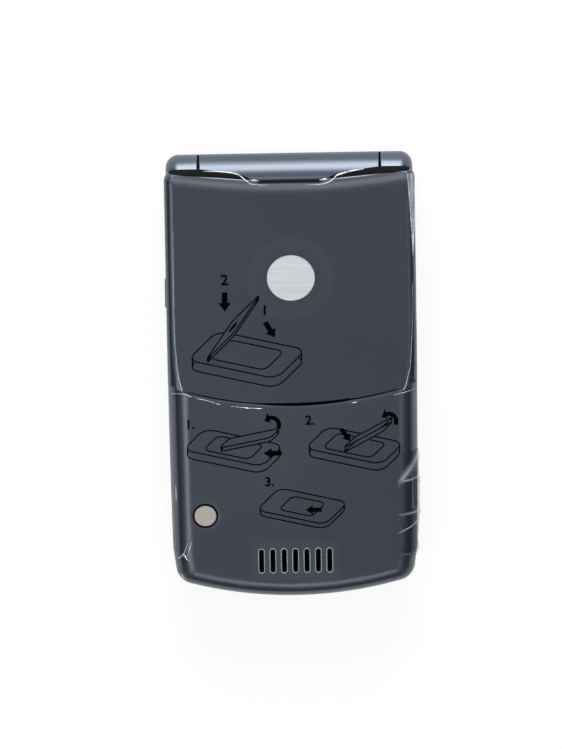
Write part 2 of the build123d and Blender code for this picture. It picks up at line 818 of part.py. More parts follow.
for name, shape, x, y, width, length in keys:
    with BuildPart() as key:
        with BuildSketch(Plane.XY.offset(key_face_z)):
            with Locations((x, y)):
                add(key_plan(shape, width, length, 0))
        depth = ring_thickness if name == "select_key" else key_back_z - key_face_z
        extrude(amount=depth)
        fillet(key.faces().sort_by(Axis.Z)[0].edges(), key_edge)
        if name != "select_key":  # a flange behind the plate keeps the key in
            with BuildSketch(Plane.XY.offset(key_back_z + key_flange_step)):
                with Locations((x, y)):
                    add(key_plan(shape, width, length, key_gap + key_flange))
            extrude(amount=key_flange_thickness)
            with BuildSketch(Plane.XY.offset(key_back_z)):
                with Locations((x, y)):
                    add(key_plan(shape, width, length, -key_neck))
            extrude(amount=key_flange_step)
        with BuildSketch(Plane.XY.offset(key_face_z + depth)):
            with Locations((x, y)):
                Circle(key_plunger_radius)
        extrude(amount=dome_sheet_z - key_face_z - depth - key_travel - float_gap)
    save(key, name)

ring_top_z = key_face_z + ring_thickness
with BuildPart() as nav_ring:
    with BuildSketch(Plane.XY.offset(key_face_z)):
        with Locations((0, ring_y)):
            Circle(ring_radius)
            Circle(ring_inner_radius, mode=Mode.SUBTRACT)
    extrude(amount=ring_thickness)
    fillet(nav_ring.faces().sort_by(Axis.Z)[0].edges(), ring_edge)
save(nav_ring, "nav_ring")

ring_pad_z = ring_top_z + key_travel
with BuildPart() as nav_pad:
    with BuildSketch(Plane.XY.offset(ring_pad_z)):
        with Locations((0, ring_y)):
            Circle(ring_pad_radius)
            Circle(select_radius + key_gap, mode=Mode.SUBTRACT)
    extrude(amount=ring_pad_thickness)
    with BuildSketch(Plane.XY.offset(ring_pad_z + ring_pad_thickness)):
        with Locations((0, ring_y)):
            with PolarLocations(ring_pad_radius - ring_stud_inset, 4):
                Circle(key_plunger_radius)
    extrude(amount=ring_stud_height)
save(nav_pad, "nav_pad")

with BuildPart() as dome_sheet:
    with BuildSketch(Plane.XY.offset(dome_sheet_z)):
        with Locations((0, board_middle_y)):
            RectangleRounded(2 * board_half_width, board_length, board_corner)
    extrude(amount=dome_sheet_thickness)
save(dome_sheet, "dome_sheet")

with BuildPart() as main_board:
    with BuildSketch(Plane.XY.offset(board_z)):
        with Locations((0, board_middle_y)):
            RectangleRounded(2 * board_half_width, board_length, board_corner)
    extrude(amount=board_thickness)
    with BuildSketch(Plane.XY.offset(board_z + board_thickness)):  # shield cans in the lower half
        with Locations(shield_places):
            Rectangle(shield_width, shield_length)
    extrude(amount=shield_height)
save(main_board, "main_board")

with BuildPart() as inner_frame:
    with BuildSketch(Plane.XY.offset(frame_z)):
        add(base_plan(deck_end_y, base_wall + seam))
        with Locations((0, battery_y)):
            Rectangle(frame_window, battery_length, mode=Mode.SUBTRACT)
        with Locations((0, shield_y)):
            Rectangle(frame_window, shield_length + 2 * frame_window_gap, mode=Mode.SUBTRACT)
        with Locations((0, speaker_window_y)):
            Rectangle(frame_window - 2 * frame_window_gap, speaker_window_length, mode=Mode.SUBTRACT)
        with Locations((body_width / 2, usb_y)):
            Rectangle(
                2 * (usb_depth + usb_setback + usb_wall), usb_width + frame_window_gap, mode=Mode.SUBTRACT
            )
        with Locations(base_screw_places):
            Circle(screw_shaft_radius + fit, mode=Mode.SUBTRACT)
    extrude(amount=frame_split_z - frame_z)
save(inner_frame, "inner_frame")

# ================================================================= base, back side
housing_roof_z = back_z - back_wall
seam_clear_radius = seam_radius + seam
with BuildPart() as rear_housing:
    with BuildSketch(Plane.XY.offset(frame_split_z)):
        add(base_plan(deck_end_y))
    extrude(amount=back_z - frame_split_z)
    chin_edges = rear_housing.faces().sort_by(Axis.Z)[-1].edges()
    fillet(chin_edges.filter_by(lambda edge: edge.center().Y < deck_end_y - 1.0), back_round)
    with BuildSketch(Plane.XY.offset(deck_z)):  # room for the battery cover
        add(arc_region(seam_y - seam, seam_clear_radius))
    extrude(amount=back_z, mode=Mode.SUBTRACT)
    with BuildSketch(Plane.XY.offset(deck_z)):  # square the deck's sides under the cover
        add(cover_plan(deck_end_y))
    extrude(amount=frame_split_z - deck_z)
    with BuildSketch(Plane.XY.offset(frame_split_z)):  # hollow of the lower part
        add(base_plan(0, base_wall + back_round / 5))
        add(arc_region(seam_y - seam - base_wall, seam_clear_radius), mode=Mode.SUBTRACT)
    extrude(amount=deck_z - frame_split_z, mode=Mode.SUBTRACT)
    with BuildSketch(Plane.XY.offset(deck_z)):
        add(base_plan(0, base_wall + back_round / 2))
        add(arc_region(seam_y - seam - base_wall, seam_clear_radius), mode=Mode.SUBTRACT)
    extrude(amount=housing_roof_z - deck_z, mode=Mode.SUBTRACT)
    with BuildSketch(Plane.XY.offset(frame_split_z)):  # battery bay
        with Locations((0, battery_y)):
            Rectangle(battery_width + 2 * seam, battery_length + 2 * seam)
    extrude(amount=deck_z, mode=Mode.SUBTRACT)
    with BuildSketch(Plane.XY.offset(deck_z)):
        with Locations(base_screw_places):
            Circle(screw_head_radius + fit)
    extrude(amount=-(screw_head + screw_seat_room), mode=Mode.SUBTRACT)
    with BuildSketch(Plane.XY.offset(deck_z)):
        with Locations(base_screw_places):
            Circle(screw_shaft_radius + fit)
    extrude(amount=-deck_z, mode=Mode.SUBTRACT)
    with BuildSketch(Plane.XY.offset(back_z)):  # sound slots
        with Locations((0, slot_y)):
            with GridLocations(slot_pitch, 0, slot_count, 1):
                SlotOverall(slot_length, slot_width, rotation=90)
    extrude(amount=-2 * back_wall, mode=Mode.SUBTRACT)
    with BuildSketch(Plane.XY.offset(back_z)):  # seat of the test port plug
        with Locations((plug_x, plug_y)):
            Circle(plug_radius + plug_gap)
    extrude(amount=-(plug_head + plug_seat_gap), mode=Mode.SUBTRACT)
    with BuildSketch(Plane.XY.offset(back_z)):
        with Locations((plug_x, plug_y)):
            Circle(plug_stem_radius + plug_gap)
    extrude(amount=-2 * back_wall, mode=Mode.SUBTRACT)
    with Locations((plug_x, plug_y, back_z + dish_sphere - dish_depth)):  # shallow dish round the plug
        Sphere(dish_sphere, mode=Mode.SUBTRACT)
    with Locations((body_width / 2, usb_y, usb_z)):
        Box(8 * base_wall, usb_width + 2 * fit, usb_height + 2 * fit, mode=Mode.SUBTRACT)
    # knuckles with rounded outer ends, each on an arm that reaches over from the deck
    for side in (1, -1):
        with BuildSketch(Plane.XY.offset(hinge_z)):
            with BuildLine():
                FilletPolyline(
                    (side * knuckle_inner_x, hinge_y),
                    (side * knuckle_inner_x, hinge_y + barrel_radius),
                    (side * knuckle_end_x, hinge_y + barrel_radius),
                    (side * knuckle_end_x, hinge_y),
                    radius=(barrel_edge, knuckle_round),
                )
                Line((side * knuckle_end_x, hinge_y), (side * knuckle_inner_x, hinge_y))
            make_face()
        revolve(axis=Axis((0, hinge_y, hinge_z), (1, 0, 0)))
        with BuildSketch(Plane.YZ.offset(side * (knuckle_inner_x + knuckle_arm_inset))):
            with BuildLine():
                Polyline(
                    (deck_end_y - 1.0, frame_split_z),
                    (deck_end_y, frame_split_z),
                    (hinge_y - pin_radius - fit, hinge_z),
                    (hinge_y, hinge_z + barrel_radius - barrel_wall),
                    (hinge_y - barrel_radius + barrel_wall, deck_z),
                    (deck_end_y - 1.0, deck_z),
                    close=True,
                )
            make_face()
        extrude(amount=side * (knuckle_length - 4 * knuckle_arm_inset))
        with BuildSketch(Plane.YZ.offset(side * knuckle_inner_x)):  # blind bore for the pin
            with Locations((hinge_y, hinge_z)):
                Circle(pin_radius)
        extrude(amount=side * (pin_outer_x - knuckle_inner_x), mode=Mode.SUBTRACT)
save(rear_housing, "rear_housing")

with BuildPart() as hinge_pins:
    for side in (1, -1):
        with BuildSketch(Plane.YZ.offset(side * pin_inner_x)):
            with Locations((hinge_y, hinge_z)):
                Circle(pin_radius)
                Circle(pin_bore_radius, mode=Mode.SUBTRACT)
        extrude(amount=side * (pin_outer_x - pin_inner_x))
        # its washer fills the gap between the barrel and the knuckle
        with BuildSketch(Plane.YZ.offset(side * (barrel_half_length + fit))):
            with Locations((hinge_y, hinge_z)):
                Circle(washer_radius)
                Circle(pin_bore_radius, mode=Mode.SUBTRACT)
        extrude(amount=side * (knuckle_gap - 2 * fit))
save(hinge_pins, "hinge_pins")

with BuildPart() as battery:
    with BuildSketch(Plane.XY.offset(battery_z)):
        with Locations((0, battery_y)):
            RectangleRounded(battery_width, battery_length, battery_corner)
    extrude(amount=battery_thickness)
    fillet(battery.faces().sort_by(Axis.Z)[-1].edges(), battery_edge)
save(battery, "battery")

with BuildPart() as battery_contacts:
    with BuildSketch(Plane.XY.offset(frame_z)):
        with Locations((contact_x, contact_y)):
            with GridLocations(contact_pitch, 0, 4, 1):
                Rectangle(contact_width, contact_length)
    extrude(amount=battery_z - frame_z - float_gap)
save(battery_contacts, "battery_contacts")

sim_z = (frame_z + battery_z) / 2 + float_gap
with BuildPart() as sim_holder:
    with BuildSketch(Plane.XY.offset(frame_z)):
        with Locations((0, sim_y)):
            RectangleRounded(sim_width + 2 * sim_rim, sim_length + 2 * sim_rim, sim_rim / 2)
            Rectangle(sim_width - 2 * sim_rim, sim_length - 2 * sim_rim, mode=Mode.SUBTRACT)
    extrude(amount=battery_z - frame_z)
    with Locations((0, sim_y, sim_z)):
        Box(sim_width + 2 * fit, sim_length + 2 * fit, sim_thickness + fit, mode=Mode.SUBTRACT)
save(sim_holder, "sim_holder")

with BuildPart() as sim_card:
    with Locations((0, sim_y, sim_z)):
        Box(sim_width, sim_length, sim_thickness)
        chamfer(sim_card.edges().filter_by(Axis.Z).sort_by(Axis.Y)[-1], sim_notch)
save(sim_card, "sim_card")

base_seat_z = deck_z - screw_head - screw_seat_room
with BuildPart() as base_screws:
    with BuildSketch(Plane.XY.offset(base_seat_z)):
        with Locations(base_screw_places):
            Circle(screw_head_radius)
    extrude(amount=screw_head)
    with BuildSketch(Plane.XY.offset(base_seat_z)):
        with Locations(base_screw_places):
            Circle(screw_shaft_radius - screw_thread_gap)
    extrude(amount=-(base_seat_z - key_back_z - screw_seat_room))
    with BuildSketch(Plane.XY.offset(base_seat_z + screw_head)):
        with Locations(base_screw_places):
            RegularPolygon(screw_socket_radius, 6)
    extrude(amount=-screw_socket_depth, mode=Mode.SUBTRACT)
save(base_screws, "base_screws")

with BuildPart() as loudspeaker:
    with BuildSketch(Plane.XY.offset(housing_roof_z - fit)):
        with Locations((0, speaker_y)):
            SlotOverall(speaker_length, speaker_width)
    extrude(amount=-speaker_height)
    with BuildSketch(Plane.XY.offset(housing_roof_z - fit)):
        with Locations((0, speaker_y)):
            SlotOverall(speaker_length - 2 * speaker_rim, speaker_width - 2 * speaker_rim)
    extrude(amount=-speaker_cone_depth, mode=Mode.SUBTRACT)
save(loudspeaker, "loudspeaker")

with BuildPart() as microphone:
    with Locations((0, microphone_y, chin_face_z + base_wall)):
        Cylinder(microphone_radius, microphone_height, align=(Align.CENTER, Align.CENTER, Align.MIN))
        Cylinder(
            microphone_hole / 2,
            microphone_height / 4,
            align=(Align.CENTER, Align.CENTER, Align.MIN),
            mode=Mode.SUBTRACT,
        )
save(microphone, "microphone")

with BuildPart() as antenna:
    with BuildSketch(Plane.XY.offset(antenna_z)):
        add(base_plan(0, base_wall + chin_face_round / 2 + fit))
        add(arc_region(lid_end_y - closing_gap - base_wall - fit, chin_clear_radius), mode=Mode.SUBTRACT)
    extrude(amount=antenna_thickness)
    with BuildSketch(Plane.XY.offset(antenna_z + antenna_thickness)):
        with Locations((-antenna_foot_x, antenna_foot_y), (antenna_foot_x, antenna_foot_y)):
            Rectangle(antenna_foot_width, antenna_foot_length)
    extrude(amount=frame_z - antenna_z - antenna_thickness)
save(antenna, "antenna")

with BuildPart() as vibration_motor:
    with BuildSketch(Plane.XZ.offset(-motor_y)):
        with Locations((motor_x, motor_z)):
            Circle(motor_radius)
    extrude(amount=motor_length)
    with BuildSketch(Plane.XZ.offset(motor_length - motor_y)):  # its shaft
        with Locations((motor_x, motor_z)):
            Circle(motor_shaft_radius)
    extrude(amount=motor_weight_gap)
    with BuildSketch(Plane.XZ.offset(motor_length + motor_weight_gap - motor_y)):  # off-centre weight
        with Locations((motor_x, motor_z)):
            Circle(motor_weight_radius)
            Rectangle(
                2 * motor_weight_radius,
                motor_weight_radius,
                align=(Align.CENTER, Align.MAX),
                mode=Mode.SUBTRACT,
            )
            Circle(motor_shaft_radius)
    extrude(amount=motor_weight_length)
save(vibration_motor, "vibration_motor")

with BuildPart() as usb_socket:
    with Locations((body_width / 2 - usb_setback, usb_y, usb_z)):
        Box(usb_depth, usb_width, usb_height, align=(Align.MAX, Align.CENTER, Align.CENTER))
        chamfer(usb_socket.edges().filter_by(Axis.X).group_by(Axis.Z)[0], usb_chamfer)
        Box(
            usb_depth - usb_wall,
            usb_width - 2 * usb_wall,
            usb_height - 2 * usb_wall,
            align=(Align.MAX, Align.CENTER, Align.CENTER),
            mode=Mode.SUBTRACT,
        )
        with Locations((usb_wall / 2 - usb_depth, 0, 0)):
            Box(
                usb_tongue_length,
                usb_tongue_width,
                usb_tongue_height,
                align=(Align.MIN, Align.CENTER, Align.CENTER),
            )
save(usb_socket, "usb_socket")

# ================================================================= plug, catch and battery cover
with BuildPart() as test_port_plug:
    with BuildSketch(Plane.XY.offset(back_z - plug_head)):
        with Locations((plug_x, plug_y)):
            Circle(plug_radius)
    extrude(amount=plug_head)
    fillet(test_port_plug.faces().sort_by(Axis.Z)[-1].edges(), plug_edge)
    with BuildSketch(Plane.XY.offset(back_z - plug_head)):
        with Locations((plug_x, plug_y)):
            Circle(plug_stem_radius)
    extrude(amount=-plug_stem)
save(test_port_plug, "test_port_plug")

with BuildPart() as cover_latch:
    with BuildSketch(Plane.XY.offset(latch_z)) as latch_plan:
        with Locations((0, latch_front_y)):
            Rectangle(2 * latch_half_width, latch_front_y - latch_back_y, align=(Align.CENTER, Align.MAX))
        fillet(latch_plan.vertices().group_by(Axis.Y)[-1], latch_corner)
    extrude(amount=latch_thickness)
    # a foot stands on the deck behind the barrel
    with BuildSketch(Plane.XY.offset(deck_z + fit)):
        with Locations((0, latch_back_y)):
            Rectangle(2 * latch_half_width, latch_foot, align=(Align.CENTER, Align.MAX))
    extrude(amount=latch_z + latch_thickness - deck_z - fit)
save(cover_latch, "cover_latch")

with BuildPart() as battery_cover:
    with BuildSketch(Plane.XY.offset(cover_rim_z)) as cover_outline:
        add(base_plan(cover_rim_y))
        fillet(cover_outline.vertices().group_by(Axis.Y)[-1], cover_corner_radius)
    extrude(amount=back_z - cover_rim_z)
    fillet(battery_cover.faces().sort_by(Axis.Z)[-1].edges(), cover_side_round)
    with BuildSketch(Plane.XY.offset(cover_rim_z)):  # the seam leaves a square edge
        add(arc_region(seam_y, seam_radius))
    extrude(amount=back_z - cover_rim_z, mode=Mode.INTERSECT)
    with BuildSketch(Plane.YZ):  # the back dips, then falls steeply to the hinge
        with BuildLine():
            dip = JernArc((cover_flat_end_y, back_z), (1, 0), cover_dip_radius, -cover_dip_angle)
            shoulder = JernArc(dip @ 1, dip % 1, cover_shoulder_radius, -cover_shoulder_angle)
            Polyline(
                shoulder @ 1,
                (cover_rim_y, cover_rim_z),
                (closed_length, cover_rim_z),
                (closed_length, 2 * back_z),
                (cover_flat_end_y, 2 * back_z),
                dip @ 0,
            )
        make_face()
    revolve(axis=Axis((0, cover_flat_end_y + cover_arch_radius, 0), (0, 0, 1)), mode=Mode.SUBTRACT)
    add(hinge_sweep_space(), mode=Mode.SUBTRACT)
    with BuildSketch(Plane.XY.offset(cover_rim_z)):  # notch over the catch
        with BuildLine():
            half_notch = Polyline(
                (0, notch_y),
                (notch_half_width, notch_y),
                (notch_shoulder_x, notch_shoulder_y),
                (barrel_half_length, cover_rim_y),
                (barrel_half_length, closed_length),
                (0, closed_length),
            )
            mirror(half_notch, about=Plane.YZ)
        make_face()
    extrude(amount=back_z, mode=Mode.SUBTRACT)
    notch_corners = battery_cover.edges().filter_by(Axis.Z).filter_by(
        lambda edge: abs(edge.center().X) < notch_shoulder_x + seam and edge.center().Y > notch_y - seam
    )
    fillet(notch_corners, notch_round)
    with BuildSketch(Plane.XY.offset(cover_rim_z)):  # hollow inside
        add(cover_plan(hinge_y - barrel_radius - cover_wall / 2, cover_skirt))
    extrude(amount=back_z - cover_wall - cover_rim_z, mode=Mode.SUBTRACT)
    with BuildSketch(Plane.XY.offset(cover_rim_z)):  # room for the catch
        with Locations((0, latch_back_y - latch_travel_room)):
            Rectangle(2 * (latch_half_width + seam), latch_room_length, align=(Align.CENTER, Align.MIN))
    extrude(amount=latch_z + latch_thickness + latch_head_room - cover_rim_z, mode=Mode.SUBTRACT)
    with BuildSketch(Plane.XY.offset(back_z)):  # seat of the badge
        with Locations((0, badge_y)):
            Circle(badge_radius + fit)
    extrude(amount=-badge_thickness, mode=Mode.SUBTRACT)
save(battery_cover, "battery_cover")

with BuildPart() as badge:
    with BuildSketch(Plane.XY.offset(back_z - badge_thickness)):
        with Locations((0, badge_y)):
            Circle(badge_radius)
    extrude(amount=badge_thickness)
    fillet(badge.faces().sort_by(Axis.Z)[-1].edges(), badge_rim)
save(badge, "badge")

with BuildPart() as cover_film:
    with BuildSketch(Plane.XY.offset(back_z)):
        add(cover_plan(cover_flat_end_y, cover_film_inset))
    extrude(amount=film_thickness)
save(cover_film, "cover_film")

with BuildPart() as lower_film:
    with BuildSketch(Plane.XY.offset(back_z)):
        add(base_plan(0, lower_film_inset))
        add(arc_region(seam_y - seam - lower_film_seam_gap, seam_clear_radius), mode=Mode.SUBTRACT)
        with Locations((0, slot_y)):
            RectangleRounded(slot_film_width, slot_film_length, slot_width, mode=Mode.SUBTRACT)
        with Locations((plug_x, plug_y)):
            Circle(dish_radius, mode=Mode.SUBTRACT)
    extrude(amount=film_thickness)
    # a flap of the film hangs over the right side
    with BuildSketch(Plane.XZ.offset(-flap_y - flap_length / 2)):
        with BuildLine():
            for thick in (0, film_thickness):
                reach = flap_reach - film_thickness + thick
                bulge = (back_round + flap_lift + thick) / 2**0.5
                ThreePointArc(
                    (flap_centre_x - flap_overlap, back_z + thick),
                    (flap_centre_x + bulge, flap_centre_z + bulge),
                    (reach, flap_centre_z),
                )
                Line((reach, flap_centre_z), (reach, flap_centre_z - flap_skirt))
            Line(
                (flap_centre_x - flap_overlap, back_z),
                (flap_centre_x - flap_overlap, back_z + film_thickness),
            )
            Line(
                (flap_reach - film_thickness, flap_centre_z - flap_skirt),
                (flap_reach, flap_centre_z - flap_skirt),
            )
        make_face()
    extrude(amount=flap_length)
save(lower_film, "lower_film")
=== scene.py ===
from math import cos, pi, radians, sin, sqrt

import bmesh
import bpy
from mathutils import Matrix, Vector
from mathutils.geometry import convex_hull_2d


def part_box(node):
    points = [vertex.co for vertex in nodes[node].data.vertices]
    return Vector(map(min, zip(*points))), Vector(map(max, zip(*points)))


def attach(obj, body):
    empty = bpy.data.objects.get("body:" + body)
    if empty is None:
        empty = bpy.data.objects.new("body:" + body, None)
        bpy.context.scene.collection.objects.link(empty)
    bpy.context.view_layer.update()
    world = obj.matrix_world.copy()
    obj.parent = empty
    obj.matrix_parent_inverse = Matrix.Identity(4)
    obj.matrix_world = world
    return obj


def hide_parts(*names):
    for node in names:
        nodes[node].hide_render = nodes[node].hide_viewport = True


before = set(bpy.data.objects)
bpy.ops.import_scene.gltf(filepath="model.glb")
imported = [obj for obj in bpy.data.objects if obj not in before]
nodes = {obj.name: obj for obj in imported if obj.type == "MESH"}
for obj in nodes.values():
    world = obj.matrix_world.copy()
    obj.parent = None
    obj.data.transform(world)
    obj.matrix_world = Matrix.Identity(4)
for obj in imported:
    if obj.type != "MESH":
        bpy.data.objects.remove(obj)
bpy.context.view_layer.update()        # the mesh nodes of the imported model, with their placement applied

mm = 0.001
print("frame loaded:", len(nodes), "nodes")


def newObject(name, data):
    made = bpy.data.objects.new(name, data)
    bpy.context.scene.collection.objects.link(made)
    return made


def newMesh(name, bm, finish):
    mesh = bpy.data.meshes.new(name)
    bm.to_mesh(mesh)
    bm.free()
    mesh.materials.append(finish)
    return newObject(name, mesh)


# camera and soft boxes

cameraView = {
    "tilt": 19.0,            # degrees from straight above, towards the hinge
    "roll": 1.0,
    "distance": 3.0,
    "aimAcross": -2.39,      # millimetres from the phone's middle to the middle of the frame
    "aimUp": -2.68,
    "frameHeight": 158.85,   # millimetres of the frame at the phone's back
    "backHeight": 0.0136,    # from the phone's middle to its back, along the view
    "sensor": 36.0,
}


def placeCamera(view):
    tilt, roll = radians(view["tilt"]), radians(view["roll"])
    towards = Vector((0, sin(tilt), cos(tilt)))
    level = Vector((1, 0, 0))
    rise = Vector((0, cos(tilt), -sin(tilt)))
    across = cos(roll) * level - sin(roll) * rise
    up = sin(roll) * level + cos(roll) * rise
    aim = mm * (view["aimAcross"] * across + view["aimUp"] * up)
    lens = bpy.data.cameras.new("camera")
    lens.sensor_fit = "VERTICAL"
    lens.sensor_height = view["sensor"]
    lens.lens = view["sensor"] * (view["distance"] - view["backHeight"]) / (mm * view["frameHeight"])
    lens.clip_start = 0.01
    camera = newObject("camera", lens)
    turn = Matrix((across, up, towards)).transposed().to_4x4()
    camera.matrix_world = Matrix.Translation(aim + view["distance"] * towards) @ turn
    bpy.context.scene.camera = camera


# each soft box: degrees from overhead towards +X and towards +Y, its two sizes and its radiance
softBoxes = {
    "right": (29, -19, 0.10, 0.30, 1.8),
    "left": (-29, -19, 0.12, 0.30, 6.6),
    "chin": (0, -48, 0.40, 0.12, 4.5),
    "hinge": (0, 12, 0.24, 0.12, 6.0),
    "low": (0, 80, 0.50, 0.20, 11.5),
    "window": (0, 62, 0.50, 0.26, 14.0),
}
softBoxDistance = 0.7


def placeSoftBox(name, towardsX, towardsY, wide, long, radiance):
    lamp = bpy.data.lights.new(name + "SoftBox", "AREA")
    lamp.shape = "RECTANGLE"
    lamp.size, lamp.size_y = wide, long
    lamp.energy = radiance * pi * wide * long
    holder = newObject(lamp.name, lamp)
    sideways, along = radians(towardsX), radians(towardsY)
    away = Vector((sin(sideways) * cos(along), sin(along), cos(sideways) * cos(along)))
    holder.location = softBoxDistance * away
    holder.rotation_euler = away.to_track_quat("Z", "Y").to_euler()


placeCamera(cameraView)
for name, box in softBoxes.items():
    placeSoftBox(name, *box)
bpy.context.scene.view_settings.view_transform = "Standard"

# finishes


class Wire:  # one output of a finish's node tree; arithmetic on it adds Math nodes
    def __init__(self, finish, socket):
        self.finish, self.socket = finish, socket

    def out(self, name):
        return Wire(self.finish, self.socket.node.outputs[name])

    def maths(self, operation, first, second=0.0):
        return self.finish.node("Math", {"operation": operation}, {0: first, 1: second})

    def __add__(self, other):
        return self.maths("ADD", self, other)

    __radd__ = __add__

    def __sub__(self, other):
        return self.maths("SUBTRACT", self, other)

    def __rsub__(self, other):
        return self.maths("SUBTRACT", other, self)

    def __mul__(self, other):
        return self.maths("MULTIPLY", self, other)

    __rmul__ = __mul__

    def __truediv__(self, other):
        return self.maths("DIVIDE", self, other)

    def __pow__(self, other):
        return self.maths("POWER", self, other)

    def __lt__(self, other):
        return self.maths("LESS_THAN", self, other)

    def __gt__(self, other):
        return self.maths("GREATER_THAN", self, other)

    def __abs__(self):
        return self.maths("ABSOLUTE", self)


class Finish:  # the node tree of a material, or of the world
    def __init__(self, name, world=False):
        self.kind = "World" if world else "Material"
        self.holder = bpy.data.worlds.new(name) if world else bpy.data.materials.new(name)
        self.holder.use_nodes = True
        self.tree = self.holder.node_tree
        self.tree.nodes.clear()

    def node(self, kind, settings=None, sockets=None, output=0):
        made = self.tree.nodes.new("ShaderNode" + kind)
        for name, value in (settings or {}).items():
            setattr(made, name, value)
        for name, value in (sockets or {}).items():
            if isinstance(value, Wire):
                self.tree.links.new(value.socket, made.inputs[name])
            else:
                made.inputs[name].default_value = value
        return Wire(self, made.outputs[output]) if made.outputs else None

    def place(self):
        return self.node("TexCoord").out("Object")

    def axes(self):  # the three coordinates on the piece, in metres
        parts = self.node("SeparateXYZ", {}, {"Vector": self.place()})
        return parts, parts.out("Y"), parts.out("Z")

    def noise(self, scale, detail=3.0, rough=0.5, stretch=(1, 1, 1)):
        place = self.node("Mapping", {}, {"Vector": self.place(), "Scale": stretch})
        sockets = {"Vector": place, "Scale": scale, "Detail": detail, "Roughness": rough}
        return self.node("TexNoise", {}, sockets)

    def mix(self, factor, first, second):
        return self.node("Mix", {"data_type": "RGBA"}, {0: factor, 6: first, 7: second}, 2)

    def spread(self, value, low, high, newLow=0.0, newHigh=1.0):
        return self.node("MapRange", {}, {0: value, 1: low, 2: high, 3: newLow, 4: newHigh})

    def bump(self, height, strength, distance):
        return self.node("Bump", {}, {"Height": height, "Strength": strength, "Distance": distance * mm})

    def blend(self, factor, first, second):
        return self.node("MixShader", {}, {0: factor, 1: first, 2: second})

    def principled(self, **sockets):
        named = {name.replace("_", " "): value for name, value in sockets.items()}
        return self.node("BsdfPrincipled", {}, named)

    def surface(self, shader):
        self.node("Output" + self.kind, {}, {"Surface": shader})
        return self.holder

    def opaque(self, **sockets):
        return self.surface(self.principled(**sockets))


def colour(red, green, blue):  # from 0 to 255 as seen on a screen, to the renderer's own scale
    scaled = [value / 255 for value in (red, green, blue)]
    return tuple(v / 12.92 if v <= 0.04045 else ((v + 0.055) / 1.055) ** 2.4 for v in scaled) + (1.0,)


def darkened(shade, share):
    return tuple(share * part for part in shade[:3]) + (1.0,)


paint = {                    # of the shells
    "dark": colour(38, 43, 57),
    "light": colour(46, 53, 67),
    "shadeTone": colour(24, 31, 42),      # painted shade, for the darker spots
    "metallic": 0.15,
    "specular": 0.9,
    "tint": colour(236, 246, 255),   # of its gloss
    "roughness": 0.3,
    "barrelRoughness": 0.31,
    "barrelMetallic": 0.3,
    "flake": 9000,           # noise scale of the metal flakes
    "shadow": colour(2, 3, 5),
    "shadeBandMiddle": 44.65,      # where the painted shade on the cover's end starts beside the hinge
    "shadeBandSlope": 0.09,        # and how much further out it starts to the sides
    # painted light and shade: round spots (x, y, radius), each with its share and tone, lighter or darker
    # than the paint
    "coverShadeSpots": [((15, 2, 20), 0.45, "shadeTone"), ((3, 12, 15), 0.15, "shadeTone")],
    "housingLightAndShadeSpots": [((-1, -13, 19), 0.8, "light"), ((20, -30, 26), 0.5, "shadeTone"),
                     ((-12, -42, 16), 0.3, "shadeTone")],
}


def softSpot(x, y, spot):  # 1 in the middle of a round spot (x, y, radius), 0 past its radius
    spotX, spotY, radius = (mm * value for value in spot)
    away = ((x - spotX) ** 2.0 + (y - spotY) ** 2.0) / radius**2
    settings = {"interpolation_type": "SMOOTHSTEP"}
    return x.finish.node("MapRange", settings, {0: away, 1: 0.0, 2: 1.0, 3: 1.0, 4: 0.0})


def bodyPaint(name, roughness, spots=(), shadeBand=False, metallic=paint["metallic"]):
    finish = Finish(name)
    x, y, z = finish.axes()
    flake = finish.noise(paint["flake"], 2, 0.6)
    cloud = finish.noise(55, 3, 0.5)
    shade = finish.mix(0.7 * cloud + 0.3 * flake, paint["dark"], paint["light"])
    # painted light and shade: lighter and darker round spots mixed into the paint's colour
    for spot, amount, tone in spots:
        shade = finish.mix(amount * softSpot(x, y, spot), shade, paint[tone])
    coat = finish.principled(
        Base_Color=shade,
        Metallic=metallic,
        Specular_IOR_Level=paint["specular"],
        Specular_Tint=paint["tint"],
        Roughness=roughness + 0.04 * flake,
        Normal=finish.bump(flake, 0.01, 0.01),
    )
    if not shadeBand:
        return finish.surface(coat)
    # painted shade: past this line the cover's end is near-black and matt, standing in for the dark gap
    # under the barrel
    beyond = y - paint["shadeBandSlope"] * abs(x) > mm * paint["shadeBandMiddle"]
    matt = finish.principled(Base_Color=paint["shadow"], Roughness=0.8, Specular_IOR_Level=0.1)
    return finish.surface(finish.blend(beyond, coat, matt))


def brushedMetal(name, dark, light, metallic, roughness, stretch=(40, 6000, 40)):
    finish = Finish(name)
    line = finish.noise(1.0, 4, 0.7, stretch)
    cloud = finish.noise(120, 2, 0.5)
    return finish.opaque(
        Base_Color=finish.mix(finish.spread(line, 0.3, 0.7), dark, light),
        Metallic=metallic,
        Roughness=roughness + 0.12 * line + 0.05 * cloud,
        Normal=finish.bump(line, 0.12, 0.02),
    )


def mouldedPlastic(name, shade, roughness, grain=3000, relief=0.05, specular=0.5):
    finish = Finish(name)
    speck = finish.noise(grain, 3, 0.6)
    cloud = finish.noise(90, 3, 0.5)
    return finish.opaque(
        Base_Color=finish.mix(0.6 * cloud + 0.4 * speck, darkened(shade, 0.8), shade),
        Specular_IOR_Level=specular,
        Roughness=roughness - 0.05 + 0.1 * speck,
        Normal=finish.bump(speck, relief, 0.02),
    )


def castMetal(name, shade, roughness, grain=1800):
    finish = Finish(name)
    speck = finish.noise(grain, 4, 0.65)
    cloud = finish.noise(140, 3, 0.5)
    return finish.opaque(
        Base_Color=finish.mix(0.5 * cloud + 0.5 * speck, darkened(shade, 0.7), shade),
        Metallic=1.0,
        Roughness=roughness - 0.08 + 0.16 * speck,
        Normal=finish.bump(speck, 0.12, 0.02),
    )


